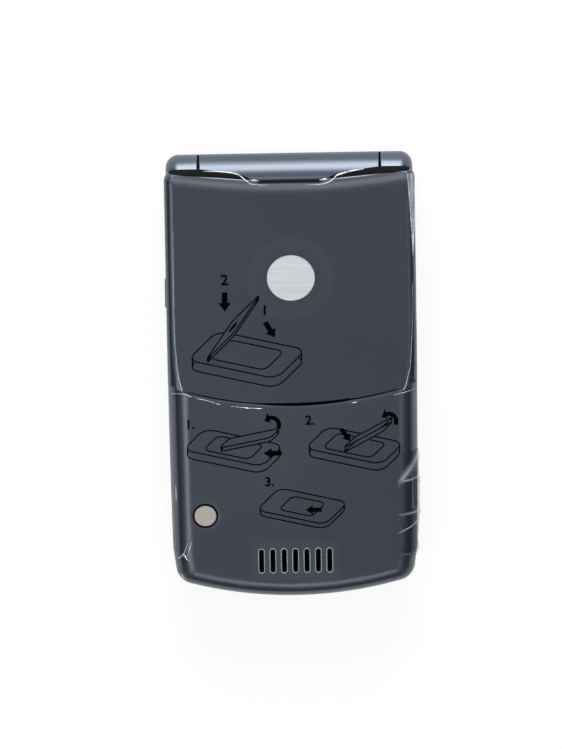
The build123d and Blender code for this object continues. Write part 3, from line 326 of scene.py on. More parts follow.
def rubber(name, shade):
    finish = Finish(name)
    grain = finish.node("TexVoronoi", {}, {"Vector": finish.place(), "Scale": 5200.0})
    dust = finish.noise(2600, 4, 0.7)
    return finish.opaque(
        Base_Color=finish.mix(finish.spread(dust, 0.3, 0.75), darkened(shade, 0.72), shade),
        Roughness=0.62 + 0.12 * dust,
        Normal=finish.bump(grain, 0.15, 0.02),
    )


def circuitBoard():
    finish = Finish("circuitBoard")
    track = finish.node("TexBrick", {"offset": 0.35, "offset_frequency": 2}, {
        "Vector": finish.place(),
        "Color1": colour(18, 74, 46),
        "Color2": colour(24, 84, 54),
        "Mortar": colour(52, 112, 72),
        "Scale": 900.0,
        "Mortar Size": 0.05,
        "Brick Width": 2.6,
        "Row Height": 0.7,
    })
    pad = finish.node("TexVoronoi", {}, {"Vector": finish.place(), "Scale": 620.0}) < 0.16
    return finish.opaque(
        Base_Color=finish.mix(pad, track, colour(196, 168, 92)),
        Metallic=0.8 * pad,
        Roughness=0.42 - 0.1 * pad,
        Normal=finish.bump(track, 0.1, 0.02),
    )


def wovenMesh():
    finish = Finish("dustMesh")
    x, y, z = finish.axes()
    warp = x.maths("SINE", 42000.0 * x)
    weft = y.maths("SINE", 42000.0 * y)
    weave = finish.spread(warp * weft, -1.0, 1.0)
    return finish.opaque(
        Base_Color=finish.mix(weave, colour(1, 2, 2), colour(6, 8, 8)),
        Specular_IOR_Level=0.0,
        Roughness=0.9,
        Normal=finish.bump(weave, 0.3, 0.02),
    )


def smokedLens(tint):
    finish = Finish("smokedLens")
    smear = finish.noise(70, 3, 0.5)
    sheet = finish.node("BsdfTransparent", {}, {"Color": tint})
    gloss = finish.node("BsdfGlossy", {}, {"Color": (1, 1, 1, 1), "Roughness": 0.03})
    edge = finish.node("Fresnel", {}, {"IOR": 1.5})
    return finish.surface(finish.blend(edge + 0.01 * smear, sheet, gloss))


def displayGlass():
    finish = Finish("displayGlass")
    cell = finish.node("TexBrick", {"offset": 0.0}, {
        "Vector": finish.place(),
        "Color1": colour(16, 20, 28),
        "Color2": colour(18, 22, 31),
        "Mortar": colour(9, 11, 16),
        "Scale": 4200.0,
        "Mortar Size": 0.08,
        "Brick Width": 1.0,
        "Row Height": 1.0,
    })
    return finish.opaque(Base_Color=cell, Roughness=0.12)


# the clear films: where the air bubble lies under them and what is cut out of them
filmShade = {
    "bubble": (0.0, 23.7, 9.0),      # x, y and radius
    "bubbleEdge": (0.35, 0.95),      # where it rises, by the square of the distance
    "bubbleLift": 0.012,
    "index": 1.3,            # of refraction
    "headOn": 0.022,         # what such a film reflects seen straight on
    "slotHole": (0.0, -39.8, 9.2, 4.4),  # x, y and the two half sizes
    "plugHole": (-19.05, -29.4, 3.6),
    "holeShare": 0.3,        # how much of the film's gloss a hole in it takes away
    "roughness": 0.2,
}


def clearFilm():
    finish = Finish("clearFilm")
    x, y, z = finish.axes()
    bubbleX, bubbleY, bubbleRadius = (mm * value for value in filmShade["bubble"])
    slotX, slotY, slotWide, slotLong = (mm * value for value in filmShade["slotHole"])
    plugX, plugY, plugRadius = (mm * value for value in filmShade["plugHole"])
    away = ((x - bubbleX) ** 2.0 + (y - bubbleY) ** 2.0) / bubbleRadius**2
    bubble = finish.spread(away, *filmShade["bubbleEdge"]) * (away < 1.0)
    slotHole = (abs(x - slotX) < slotWide) * (abs(y - slotY) < slotLong)
    plugHole = (x - plugX) ** 2.0 + (y - plugY) ** 2.0 < plugRadius**2
    smear = finish.noise(160, 3, 0.6)
    sheet = finish.node("BsdfTransparent")
    gloss = finish.node("BsdfGlossy", {}, {
        "Color": (1, 1, 1, 1),
        "Roughness": filmShade["roughness"],
        "Normal": finish.bump(smear, 0.06, 0.05),
    })
    mirrored = finish.node("Fresnel", {}, {"IOR": filmShade["index"]})
    grazing = finish.spread(mirrored, filmShade["headOn"], 1.0)
    kept = (1 - filmShade["holeShare"] * slotHole) * (1 - filmShade["holeShare"] * plugHole)
    return finish.surface(finish.blend((grazing + filmShade["bubbleLift"] * bubble) * kept, sheet, gloss))


stage = {
    "floorSize": 1.5,
    "floorTone": (0.9, 0.9, 0.9, 1),
    "glowShare": 0.85,
    "overhead": 0.62,        # the studio's light from above, and from the sides
    "horizon": 0.12,
    "fade": (0.1, 0.95),     # between these heights, of 1 straight up
}


def paleFloor(glowShare):
    finish = Finish("paleFloor")
    matt = finish.node("BsdfDiffuse", {}, {"Color": stage["floorTone"]})
    glow = finish.node("Emission", {}, {"Color": (1, 1, 1, 1), "Strength": 1.0})
    path = finish.node("LightPath")
    seen = path.out("Is Camera Ray") + path.out("Is Glossy Ray") + path.out("Is Transmission Ray")
    return finish.surface(finish.blend((seen > 0.5) * glowShare, matt, glow))


def buildStage():
    bm = bmesh.new()
    bmesh.ops.create_grid(bm, x_segments=1, y_segments=1, size=stage["floorSize"])
    floor = newMesh("floor", bm, paleFloor(stage["glowShare"]))
    studio = Finish("studio", world=True)
    level = studio.node("SeparateXYZ", {}, {"Vector": studio.node("TexCoord").out("Generated")}).out("Z")
    glow = studio.spread(level, *stage["fade"], stage["horizon"], stage["overhead"])
    soft = studio.node("Background", {}, {"Color": (1, 1, 1, 1), "Strength": glow})
    behind = studio.node("Background", {}, {"Color": (1, 1, 1, 1), "Strength": 1.0})
    seen = studio.node("LightPath").out("Is Camera Ray")
    bpy.context.scene.world = studio.surface(studio.blend(seen, soft, behind))


buildStage()
slotFinish = {
    "body_paint": bodyPaint("slatePaint", paint["roughness"]),
    "barrel_paint": bodyPaint("barrelPaint", paint["barrelRoughness"], metallic=paint["barrelMetallic"]),
    "badge_metal": brushedMetal("badgeMetal", colour(205, 209, 213), colour(244, 246, 247), 0.1, 0.3),
    "clear_film": clearFilm(),
    "black_plastic": mouldedPlastic("blackPlastic", colour(9, 9, 11), 0.5, specular=0.2),
    "pale_rubber": rubber("paleRubber", colour(186, 181, 173)),
    "dark_rubber": rubber("darkRubber", colour(26, 26, 28)),
    "lens_clear": smokedLens((0.22, 0.23, 0.25, 1)),
    "display_glass": displayGlass(),
    "board_green": circuitBoard(),
    "steel": brushedMetal("brushedSteel", colour(150, 152, 156), colour(205, 207, 210), 1.0, 0.25),
    "key_metal": brushedMetal("keyMetal", colour(96, 100, 110), colour(132, 136, 146), 0.85, 0.3,
                              (6000, 60, 60)),
    "frame_alloy": castMetal("frameAlloy", colour(168, 170, 174), 0.45),
    "contact_gold": castMetal("contactGold", colour(214, 174, 98), 0.28, 3000),
    "battery_label": mouldedPlastic("batteryLabel", colour(58, 60, 66), 0.45, 1600),
    "cable_film": mouldedPlastic("cableFilm", colour(184, 104, 42), 0.3, 1200),
    "card_white": mouldedPlastic("cardWhite", colour(228, 228, 224), 0.5, 2400),
}
for node in nodes.values():
    for slot in node.material_slots:
        slot.material = slotFinish[slot.material.name.split(".")[0]]
# the same paint, with painted light and shade: soft lighter and darker spots over each part of the back, and
# on the cover a painted dark band beside the hinge
coverPaint = bodyPaint("coverPaint", paint["roughness"], paint["coverShadeSpots"], shadeBand=True)
housingPaint = bodyPaint("housingPaint", paint["roughness"], paint["housingLightAndShadeSpots"])
print("finishes made:", len(slotFinish) + 2)

# pieces


def addPiece(name, bm, finish, body, replaces=()):
    piece = newMesh(name, bm, finish)
    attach(piece, body)
    if replaces:
        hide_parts(*replaces)
    return piece


def smoothAll(piece):
    for face in piece.data.polygons:
        face.use_smooth = True


# plan, side roundings and hinge end of the phone's back, in millimetres
backPlan = {
    "backZ": 14.4,
    "half": 26.5,
    "taperStart": 12.0,
    "taperEnd": -38.0,
    "taper": 0.45,
    "seamCentreY": 80.45,
    "seamRadius": 85.0,
    "chinCentreY": 33.5,
    "chinRadius": 82.5,
    "coverRound": 2.0,
    "seamRound": 4.0,        # what the cover's side rounding grows to at the seam
    "growStart": 14.0,
    "growLength": 18.5,
    "housingRound": 4.6,
    "dipStart": 42.1,        # the dip beside the hinge: an arc in profile, along an arch in plan
    "archRadius": 150.0,
    "dipRadius": 8.0,
    "dipAngle": 22.0,
    "fallSlope": 1.21,
    "rimZ": 11.25,
    "soften": 3.0,           # how sharply the side and the end meet
}


def halfWidth(y):
    part = (backPlan["taperStart"] - y) / (backPlan["taperStart"] - backPlan["taperEnd"])
    return backPlan["half"] - backPlan["taper"] * max(0.0, part) ** 2


def arcEnd(centreY, radius, x):
    return centreY - sqrt(radius**2 - x**2)


def roundedDrop(beyond, radius):  # how far a rounding has fallen that far beyond its start
    return radius - sqrt(radius**2 - min(max(0.0, beyond), 0.999 * radius) ** 2)


def sideDrop(x, y, radius):
    return roundedDrop(abs(x) - halfWidth(y) + radius, radius)


def endDrop(x, y):
    plan = backPlan
    centre = plan["dipStart"] + plan["archRadius"]
    beyond = centre - sqrt(x**2 + (centre - y) ** 2) - plan["dipStart"]
    dipLength = plan["dipRadius"] * sin(radians(plan["dipAngle"]))
    dip = roundedDrop(min(beyond, dipLength), plan["dipRadius"])
    return dip + max(0.0, beyond - dipLength) * plan["fallSlope"]


def turnedHeight(x, y):  # the cover as it is turned from the solid
    return backPlan["backZ"] - max(sideDrop(x, y, backPlan["coverRound"]), endDrop(x, y))


def coverHeight(x, y):  # the cover as it is finished, with softer corners
    plan = backPlan
    growth = min(max((plan["growStart"] - y) / plan["growLength"], 0.0), 1.0) ** 2
    radius = plan["coverRound"] + (plan["seamRound"] - plan["coverRound"]) * growth
    power = plan["soften"]
    drop = (sideDrop(x, y, radius) ** power + endDrop(x, y) ** power) ** (1 / power)
    return max(plan["rimZ"], plan["backZ"] - drop)


def housingHeight(x, y):
    plan = backPlan
    fromCentre = sqrt(x**2 + (plan["chinCentreY"] - y) ** 2)
    end = roundedDrop(fromCentre - plan["chinRadius"] + plan["housingRound"], plan["housingRound"])
    return plan["backZ"] - max(sideDrop(x, y, plan["housingRound"]), end)


backSurface = {"battery_cover": coverHeight, "base": housingHeight}

# painted shells: the CAD meshes, merged, with their hard edges very slightly rounded
shellCopies = {
    "merge": 0.002,          # millimetres
    "flat": 0.6,             # faces that meet flatter than this many degrees become one
    "sharp": 28.0,
    "edgeRadius": 0.09,
    "shells": {              # each with its body and its paint
        "battery_cover": ("battery_cover", coverPaint),
        "rear_housing": ("base", housingPaint),
        "keypad_frame": ("base", slotFinish["body_paint"]),
        "lid_shell": ("lid", slotFinish["body_paint"]),
        "lid_bezel": ("lid", slotFinish["body_paint"]),
        "hinge_barrel": ("lid", slotFinish["barrel_paint"]),
    },
}

coverCuts = {                # where the cover's mesh is cut finer before its corners are softened
    "steps": 10,
    "seamRows": (-5.0, 14.0, 1.0),
    "hingeRows": (41.5, 47.2, 0.3),
    "near": 0.12,            # how near the turned surface a point lies to be on it
    "weld": 0.0005,
}


def softenCover(bm):
    plan, cuts = backPlan, coverCuts
    flat = plan["half"] - plan["seamRound"]
    columns = [flat + plan["seamRound"] * sin(pi / 2 * i / cuts["steps"]) for i in range(cuts["steps"])]
    planes = [((side * x, 0, 0), (1, 0, 0)) for x in columns for side in (-1, 1)]
    for first, last, step in (cuts["seamRows"], cuts["hingeRows"]):
        planes += [((0, first + i * step, 0), (0, 1, 0)) for i in range(int((last - first) / step) + 1)]
    for point, normal in planes:
        whole = bm.verts[:] + bm.edges[:] + bm.faces[:]
        bmesh.ops.bisect_plane(bm, geom=whole, dist=cuts["weld"] * mm, plane_co=mm * Vector(point),
                               plane_no=normal)
    for vert in bm.verts:
        x, y, z = vert.co / mm
        if abs(z - turnedHeight(x, y)) < cuts["near"]:
            vert.co.z = mm * coverHeight(x, y)


def copyShell(node, body, finish):
    bm = bmesh.new()
    bm.from_mesh(nodes[node].data)
    bmesh.ops.remove_doubles(bm, verts=bm.verts, dist=shellCopies["merge"] * mm)
    if node == "battery_cover":
        softenCover(bm)
    flat = radians(shellCopies["flat"])
    bmesh.ops.dissolve_limit(bm, angle_limit=flat, verts=bm.verts, edges=bm.edges)
    for edge in bm.edges:
        edge.smooth = edge.calc_face_angle(0.0) < radians(shellCopies["sharp"])
    slot = "barrel_paint" if node == "hinge_barrel" else "body_paint"
    piece = addPiece(node + "Shell", bm, finish, body, [node])
    smoothAll(piece)
    rounding = piece.modifiers.new("edges", "BEVEL")
    rounding.limit_method = "ANGLE"
    rounding.angle_limit = radians(shellCopies["sharp"])
    rounding.width = shellCopies["edgeRadius"] * mm
    rounding.segments = 2
    rounding.harden_normals = True
    normals = piece.modifiers.new("normals", "WEIGHTED_NORMAL")
    normals.keep_sharp = True


for node, (body, finish) in shellCopies["shells"].items():
    copyShell(node, body, finish)
print("shells copied:", len(shellCopies["shells"]))

# films


def valueAt(points, place):  # the value at a place, from points (place, value)
    for (p0, v0), (p1, v1) in zip(points, points[1:]):
        if place <= p1:
            return v0 + (v1 - v0) * (place - p0) / (p1 - p0)
    return points[-1][1]


def rippled(x, y):  # the films' faint waves, from 0 to 1, a few millimetres long
    return 0.5 + 0.25 * sin(0.9 * x + 1.7 * sin(0.31 * y)) + 0.25 * sin(1.3 * y + 2.1 * sin(0.23 * x))


def filmSheet(name, shape, mapPoint, finish, body, node=None):
    bm = bmesh.new()
    bm.loops.layers.uv.new("sheet")
    columns, rows = shape["grid"]
    bmesh.ops.create_grid(bm, x_segments=columns, y_segments=rows, size=1.0, calc_uvs=True)
    for vert in bm.verts:
        vert.co = mm * Vector(mapPoint(vert.co.x, 0.5 + 0.5 * vert.co.y))
    bmesh.ops.recalc_face_normals(bm, faces=bm.faces)
    smoothAll(addPiece(name, bm, finish, body, [node] if node else []))


def paced(value, split, middle, end):  # even steps up to the split, finer ones in the rest
    if value < split:
        return middle * value / split
    return middle + (end - middle) * (value - split) / (1 - split)


def filmHalf(film, across, rounding):  # how far from the middle, in finer steps over the rounding
    flat, edge = backPlan["half"] - backPlan[rounding], backPlan["half"] - film["edgeInset"]
    return paced(abs(across), film["finerFrom"][0], flat, edge)


coverFilm = {
    "grid": (110, 110),      # columns and rows
    "edgeInset": 0.6,        # from the side of the cover
    "seamInset": 0.3,
    "finerFrom": (0.7, 0.5), # past this share of the columns and of the rows they lie closer
    "dipMargin": 1.0,
    "rim": [(0, 44.4), (6.4, 44.4), (10.6, 46.1), (19.0, 47.0), (24.2, 47.0), (25.6, 46.2), (26.5, 45.2)],
    "lift": 0.035,
    "wave": 0.008,
}


def coverFilmPoint(across, up):
    film = coverFilm
    half = filmHalf(film, across, "coverRound")
    low = arcEnd(backPlan["seamCentreY"], backPlan["seamRadius"] - film["seamInset"], half)
    top = valueAt(film["rim"], half)
    flat = backPlan["dipStart"] - film["dipMargin"]
    y = low + paced(up, film["finerFrom"][1], flat - low, top - low)
    x = half * halfWidth(y) / backPlan["half"] * (1 if across > 0 else -1)
    return x, y, coverHeight(x, y) + film["lift"] + film["wave"] * rippled(x, y)


filmSheet("coverFilm", coverFilm, coverFilmPoint, slotFinish["clear_film"], "battery_cover", "cover_film")

lowerFilm = {
    "grid": (120, 120),
    "edgeInset": 1.5,
    "seamGap": 0.7,
    "chinInset": 1.9,
    "finerFrom": (0.6, 0.55),
    "chinRows": 4.2,         # of its length, the rows over the chin's rounding
    "lift": 0.035,
    "wave": 0.008,
    "crumple": 0.05,         # of its lower left corner
    "crumpleLength": 9.0,
    "crumpleFrom": 0.6,      # of the way to the side
    "folds": (2.6, -1.9),    # up the sheet and across it
}


def lowerFilmPoint(across, up):
    film = lowerFilm
    half = filmHalf(film, across, "housingRound")
    top = arcEnd(backPlan["seamCentreY"], backPlan["seamRadius"] + film["seamGap"], half)
    low = arcEnd(backPlan["chinCentreY"], backPlan["chinRadius"] - film["chinInset"], half)
    y = top + paced(1 - up, film["finerFrom"][1], low + film["chinRows"] - top, low - top)
    x = half * halfWidth(y) / backPlan["half"] * (1 if across > 0 else -1)
    corner = max(0.0, 1 - (y - low) / film["crumpleLength"])
    corner *= max(0.0, -across - film["crumpleFrom"]) / (1 - film["crumpleFrom"])
    crumple = film["crumple"] * corner * abs(sin(film["folds"][0] * y + film["folds"][1] * x))
    return x, y, housingHeight(x, y) + film["lift"] + film["wave"] * rippled(x, y) + crumple


filmSheet("lowerFilm", lowerFilm, lowerFilmPoint, slotFinish["clear_film"], "base", "lower_film")

# the loose flap over the right side: along the phone, how far it stands off the rounding
sideFlap = {
    "grid": (40, 160),
    "overlap": 0.4,
    "skirt": 1.6,
    "standOff": [(-39.6, 0.05), (-38.6, 0.26), (-36.0, 0.10), (-33.4, 0.30), (-31.2, 0.40), (-30.8, 0.56),
                 (-30.4, 0.42), (-27.0, 0.40), (-24.1, 0.42), (-23.7, 0.56), (-23.2, 0.34), (-20.5, 0.22),
                 (-18.4, 0.34), (-16.2, 0.05)],
    "slant": 1.6,            # how much further up the folds lie at the back's edge
    "lift": 0.05,
    "wave": 0.02,
    "waves": (2.2, 1.4),     # up the sheet and across it
    "fullness": 0.7,         # how soon it stands off where it leaves the back
    "maxReach": 26.78,
}


def flapPoint(across, up):
    flap = sideFlap
    lowY, highY = flap["standOff"][0][0], flap["standOff"][-1][0]
    y = lowY + up * (highY - lowY)
    radius = backPlan["housingRound"]
    flat = halfWidth(y) - radius
    run = flap["overlap"] + radius * pi / 2 + flap["skirt"]
    beyond = (0.5 + 0.5 * across) * run - flap["overlap"]
    turn = min(max(beyond / radius, 0.0), pi / 2)
    slanted = y - flap["slant"] * (1 - turn / (pi / 2))
    off = flap["lift"] + valueAt(flap["standOff"], max(slanted, lowY)) * sin(turn) ** flap["fullness"]
    off += flap["wave"] * sin(flap["waves"][0] * y + flap["waves"][1] * beyond) * sin(turn)
    drop = max(0.0, beyond - radius * pi / 2)
    x = flat + min(beyond, 0.0) + (radius + off) * sin(turn)
    z = backPlan["backZ"] - radius + (radius + off) * cos(turn) - drop
    return min(x, flap["maxReach"]), y, z


# what shows in the loose flap, by where it is on the sheet: across from the back to the side, and up it; the
# dark tint where it turns over the side is a painted dark reflection, and the light creases and wedge are
# painted glints
flapLook = {
    "dark": colour(24, 30, 42),
    "darkReflectionFrom": (0.05, 0.3), # across
    "cover": 0.62,
    "light": colour(150, 164, 176),
    "glintFrom": (0.05, 0.2),
    "creaseGlints": [             # each painted glint along a crease, with its start, slope, half width and strength
        (0.735, 0.02, 0.016, 0.8),
        (0.419, 0.0, 0.018, 0.7),
        (0.225, 0.16, 0.012, 1.0),
        (0.03, -0.02, 0.012, 0.4),
    ],
    "wedge": (0.69, 0.42, 0.075, 0.8),
}


def creasedFilm(look):
    finish = Finish("creasedFilm")
    place = finish.node("SeparateXYZ", {}, {"Vector": finish.node("UVMap", {"uv_map": "sheet"})})
    across, up = place.out("X"), place.out("Y")
    start, slope, width, level = look["wedge"]
    # painted glints along the wedge and the creases; the creases' bump is real relief
    creaseAndGlint = finish.spread(abs(up - slope * across - start), 0.0, width, 1.0, 0.0) * level
    for start, slope, width, level in look["creaseGlints"]:
        ridge = finish.spread(abs(up - slope * across - start), 0.0, width, level, 0.0)
        creaseAndGlint = creaseAndGlint.maths("MAXIMUM", creaseAndGlint, ridge)
    turned = finish.spread(across, *look["darkReflectionFrom"])
    smear = finish.noise(500, 3, 0.6)
    shown = turned * (look["cover"] - 0.2 * smear)
    shown = shown.maths("MAXIMUM", shown, creaseAndGlint * finish.spread(across, *look["glintFrom"]))
    film = finish.principled(
        Base_Color=finish.mix(creaseAndGlint, look["dark"], look["light"]),
        Roughness=0.22 + 0.15 * smear,
        Normal=finish.bump(creaseAndGlint, 0.5, 0.1),
    )
    clear = finish.node("BsdfTransparent")
    return finish.surface(finish.blend(shown, clear, film))


filmSheet("sideFlap", sideFlap, flapPoint, creasedFilm(flapLook), "base")

# the film on the cover stands up in a narrow wedge along the right side; its pale streaked colour is a
# painted highlight
liftedEdge = {
    "grid": (8, 60),
    "inner": [(27.9, 25.85), (33.1, 25.75), (38.2, 25.46), (42.7, 25.2), (46.4, 24.96)],
    "outer": [(27.9, 25.9), (33.4, 26.2), (38.9, 26.42), (43.2, 26.45), (46.4, 26.1)],
    "lift": 0.08,
}


def liftedEdgePoint(across, up):
    edge = liftedEdge
    y = edge["inner"][0][0] + up * (edge["inner"][-1][0] - edge["inner"][0][0])
    inner, outer = valueAt(edge["inner"], y), valueAt(edge["outer"], y)
    x = inner + (outer - inner) * (0.5 + 0.5 * across)
    return x, y, coverHeight(x, y) + edge["lift"]


def liftedEdgeGlint():
    finish = Finish("liftedEdgeGlint")
    streak = finish.noise(1.0, 3, 0.6, (1500, 160, 400))
    film = finish.principled(Base_Color=colour(190, 200, 212), Roughness=0.25)
    clear = finish.node("BsdfTransparent")
    return finish.surface(finish.blend(finish.spread(streak, 0.3, 0.7, 0.15, 0.75), clear, film))


filmSheet("liftedEdge", liftedEdge, liftedEdgePoint, liftedEdgeGlint(), "battery_cover")
print("films laid")

# thin lines: painted glints along the films' folded edges, rims of the slots painted as highlights, printed
# pictograms


def curveMesh(curve):  # the mesh of a curve, as a bmesh
    holder = bpy.data.objects.new("curve", curve)
    mesh = bpy.data.meshes.new_from_object(holder)
    bpy.data.objects.remove(holder)
    bm = bmesh.new()
    bm.from_mesh(mesh)
    bpy.data.meshes.remove(mesh)
    return bm


def lineMesh(runs, radius, closed=False):  # tubes along runs of points (x, y, z, thickness)
    curve = bpy.data.curves.new("line", "CURVE")
    curve.dimensions = "3D"
    curve.bevel_depth = radius * mm
    curve.bevel_resolution = 1
    curve.use_fill_caps = True
    for run in runs:
        spline = curve.splines.new("POLY")
        spline.points.add(len(run) - 1)
        spline.use_cyclic_u = closed
        for point, (x, y, z, thick) in zip(spline.points, run):
            point.co = (x * mm, y * mm, z * mm, 1)
            point.radius = thick
    return curveMesh(curve)


def denser(run, step):  # the same run with points no further apart than a step
    filled = []
    for start, end in zip(run, run[1:]):
        count = max(1, int((Vector(end[:2]) - Vector(start[:2])).length / step))
        filled += [tuple(a + (b - a) * i / count for a, b in zip(start, end)) for i in range(count)]
    return filled + [run[-1]]


def onSurface(run, height, lift, step=0.5):  # (x, y, thickness) laid on the back
    return [(x, y, height(x, y) + lift, thick) for x, y, thick in denser(run, step)]


def filmEdgeGlintFinish():
    # light strokes: painted glints on the films' folded edges, broken up by noise
    finish = Finish("filmEdgeGlint")
    glintBreaks = finish.spread(finish.noise(700, 2, 0.5), 0.35, 0.65)
    return finish.opaque(
        Base_Color=colour(205, 214, 226),
        Roughness=0.2,
        Alpha=0.3 + 0.6 * glintBreaks,
    )


filmFoldGlints = {                # (x, y, thickness) along each fold's painted glint
    "radius": 0.07,
    "lift": 0.05,
    "cover": [
        [(-18.1, 47.2, 0.5), (-15.6, 47.1, 1.4), (-12.6, 46.8, 2.4), (-11.0, 46.5, 2.6), (-10.1, 46.05, 1.6),
         (-9.0, 45.3, 1.3), (-8.1, 44.65, 1.2), (-6.5, 44.45, 0.8), (-4.4, 44.4, 0.4)],
        [(15.7, 47.1, 1.0), (13.6, 46.8, 2.2), (12.1, 46.5, 3.0), (10.7, 46.2, 3.2), (9.95, 45.95, 2.0),
         (9.1, 45.2, 1.5), (8.2, 44.75, 1.3), (7.1, 44.4, 1.0), (3.5, 44.3, 0.5)],
        [(24.96, 46.4, 0.5), (25.2, 42.7, 0.8), (25.46, 38.2, 1.2), (25.75, 33.1, 1.8), (25.9, 27.9, 0.4)],
        [(26.45, 43.0, 0.6), (26.42, 38.9, 0.9), (26.2, 33.4, 1.6), (25.95, 28.2, 0.5)],
        [(-24.75, 34.6, 0.3), (-24.88, 18.9, 0.4), (-24.8, 8.7, 0.5), (-24.2, 2.0, 0.9), (-23.5, -1.2, 1.3)],
        [(25.7, 22.0, 0.3), (25.5, 11.1, 0.4), (25.0, 3.3, 0.7), (23.9, -1.1, 1.1), (23.4, -1.7, 1.2)],
    ],
    "base": [
        [(-25.75, -2.4, 0.8), (-24.6, -2.0, 1.2), (-23.4, -1.9, 1.8), (-22.5, -2.05, 1.6),
         (-21.5, -2.5, 0.5)],
        [(-20.6, -2.85, 0.5), (-19.0, -3.2, 1.1), (-17.6, -3.6, 1.1), (-16.6, -3.95, 0.6)],
        [(-16.4, -4.1, 0.8), (-15.9, -4.25, 1.7), (-15.4, -4.3, 0.6)],
        [(-13.2, -4.75, 0.4), (-10.6, -5.1, 0.7), (-9.9, -5.2, 1.9), (-9.1, -5.25, 0.8), (-7.7, -5.35, 0.8),
         (-7.2, -5.4, 2.0), (-6.5, -5.4, 0.5)],
        [(12.4, -4.5, 0.4), (13.0, -4.4, 2.0), (13.6, -4.3, 0.5)],
        [(21.5, -2.8, 0.4), (23.4, -2.45, 1.2), (25.7, -2.2, 0.7)],
        [(-22.9, -35.5, 0.4), (-23.45, -37.1, 1.0), (-24.0, -38.5, 1.5), (-24.75, -39.2, 1.6),
         (-25.1, -39.4, 0.5)],
        [(-24.2, -38.2, 1.0), (-23.6, -38.4, 1.8), (-23.2, -39.2, 1.6), (-22.6, -39.5, 0.6)],
        [(-22.0, -35.2, 0.6), (-22.6, -36.9, 1.0), (-23.05, -38.4, 1.2)],
        [(-24.5, -42.7, 0.4), (-24.0, -43.4, 2.2), (-23.5, -44.0, 0.5)],
        [(-25.22, -22.9, 0.4), (-25.2, -24.4, 1.7), (-25.2, -26.7, 0.4)],
    ],
}
filmEdgeGlint = filmEdgeGlintFinish()
for part, body in (("cover", "battery_cover"), ("base", "base")):
    runs = [onSurface(run, backSurface[body], filmFoldGlints["lift"]) for run in filmFoldGlints[part]]
    bm = lineMesh(runs, filmFoldGlints["radius"])
    smoothAll(addPiece(part + "FilmFoldGlints", bm, filmEdgeGlint, body))

# dark strips of painted shade: in the open seam, widest in the middle, and round the plug
darkGaps = {
    "seamY": -4.6,
    "seamSpread": 156.0,     # the seam's y rises by x squared over this
    "seam": [(-25.4, 0.5), (-8.0, 1.0), (-5.0, 2.6), (0.0, 3.6), (7.0, 3.4), (11.5, 2.8), (13.2, 1.0),
             (25.4, 0.5)],
    "line": 0.1,
    "flatten": 0.15,
    "lift": 0.02,
    "plug": (-19.05, -29.4, 2.52),   # x, y and the radius of the ring
    "plugLine": 1.7,
    "steps": 60,
}


def layOnBack(bm, height, lift):  # sets the height of flat ink from the surface under it
    for vert in bm.verts:
        vert.co.z += mm * (height(vert.co.x / mm, vert.co.y / mm) + lift)


def circlePoints(middleX, middleY, radius, steps):
    turns = [2 * pi * i / steps for i in range(steps)]
    return [(middleX + radius * cos(turn), middleY + radius * sin(turn)) for turn in turns]


gaps = darkGaps
reach = gaps["seam"][-1][0]
spots = [reach * (2 * i / gaps["steps"] - 1) for i in range(gaps["steps"] + 1)]
seamRun = [(x, gaps["seamY"] + x**2 / gaps["seamSpread"], 0.0, valueAt(gaps["seam"], x)) for x in spots]
ring = [(x, y, 0.0, gaps["plugLine"]) for x, y in circlePoints(*gaps["plug"], gaps["steps"])]
shadowGap = mouldedPlastic("shadowGap", colour(3, 3, 6), 0.8, specular=0.0)
for name, run, closed in (("seamGap", seamRun, False), ("plugGap", ring, True)):
    bm = lineMesh([run], gaps["line"], closed)
    bmesh.ops.scale(bm, vec=(1, 1, gaps["flatten"]), verts=bm.verts)
    layOnBack(bm, housingHeight, gaps["lift"])
    smoothAll(addPiece(name, bm, shadowGap, "base"))

# black rings of painted shade in the gaps between the barrel and the knuckles
hingeGaps = {"x": 19.2, "axis": (44.0, 7.25), "radius": 4.89, "line": 0.14, "steps": 64}
circle = circlePoints(*hingeGaps["axis"], hingeGaps["radius"], hingeGaps["steps"])
rings = [[(side * hingeGaps["x"], y, z, 1.0) for y, z in circle] for side in (-1, 1)]
bm = lineMesh(rings, hingeGaps["line"], True)
smoothAll(addPiece("hingeGaps", bm, shadowGap, "base"))

# painted glints: light strokes on the corners of the catch
catchCorners = {"reach": (6.4, 8.6), "y": (45.0, 45.2), "z": 13.16, "radius": 0.2}
(inX, outX), (inY, outY) = catchCorners["reach"], catchCorners["y"]
tips = [[(side * inX, inY, catchCorners["z"], 0.3), (side * (inX + outX) / 2, outY, catchCorners["z"], 1.0),
         (side * outX, inY, catchCorners["z"], 0.3)] for side in (-1, 1)]
bm = lineMesh(tips, catchCorners["radius"])
smoothAll(addPiece("catchCorners", bm, filmEdgeGlint, "cover_latch"))

# seven sound slots: a thin rim round each, its light colour a painted highlight, and a fine mesh under them
soundSlots = {
    "count": 7,
    "pitch": 2.42,
    "width": 0.95,
    "length": 5.2,
    "y": -39.8,
    "rimRadius": 0.085,
    "rimGrowth": 0.17,
    "cornerSteps": 8,
    "meshSize": (17.6, 6.6, 0.03),
    "meshCorner": 1.5,
    "meshZ": 13.275,
}


def slotOutline(x, slots):
    radius = slots["width"] / 2 + slots["rimGrowth"]
    straight = slots["length"] / 2 - slots["width"] / 2
    outline = []
    for end, first in ((1, 0), (-1, pi)):
        for i in range(slots["cornerSteps"] + 1):
            turn = first + pi * i / slots["cornerSteps"]
            outline.append((x + radius * cos(turn), slots["y"] + end * straight + radius * sin(turn)))
    return [(px, py, housingHeight(px, py), 1.0) for px, py in outline]


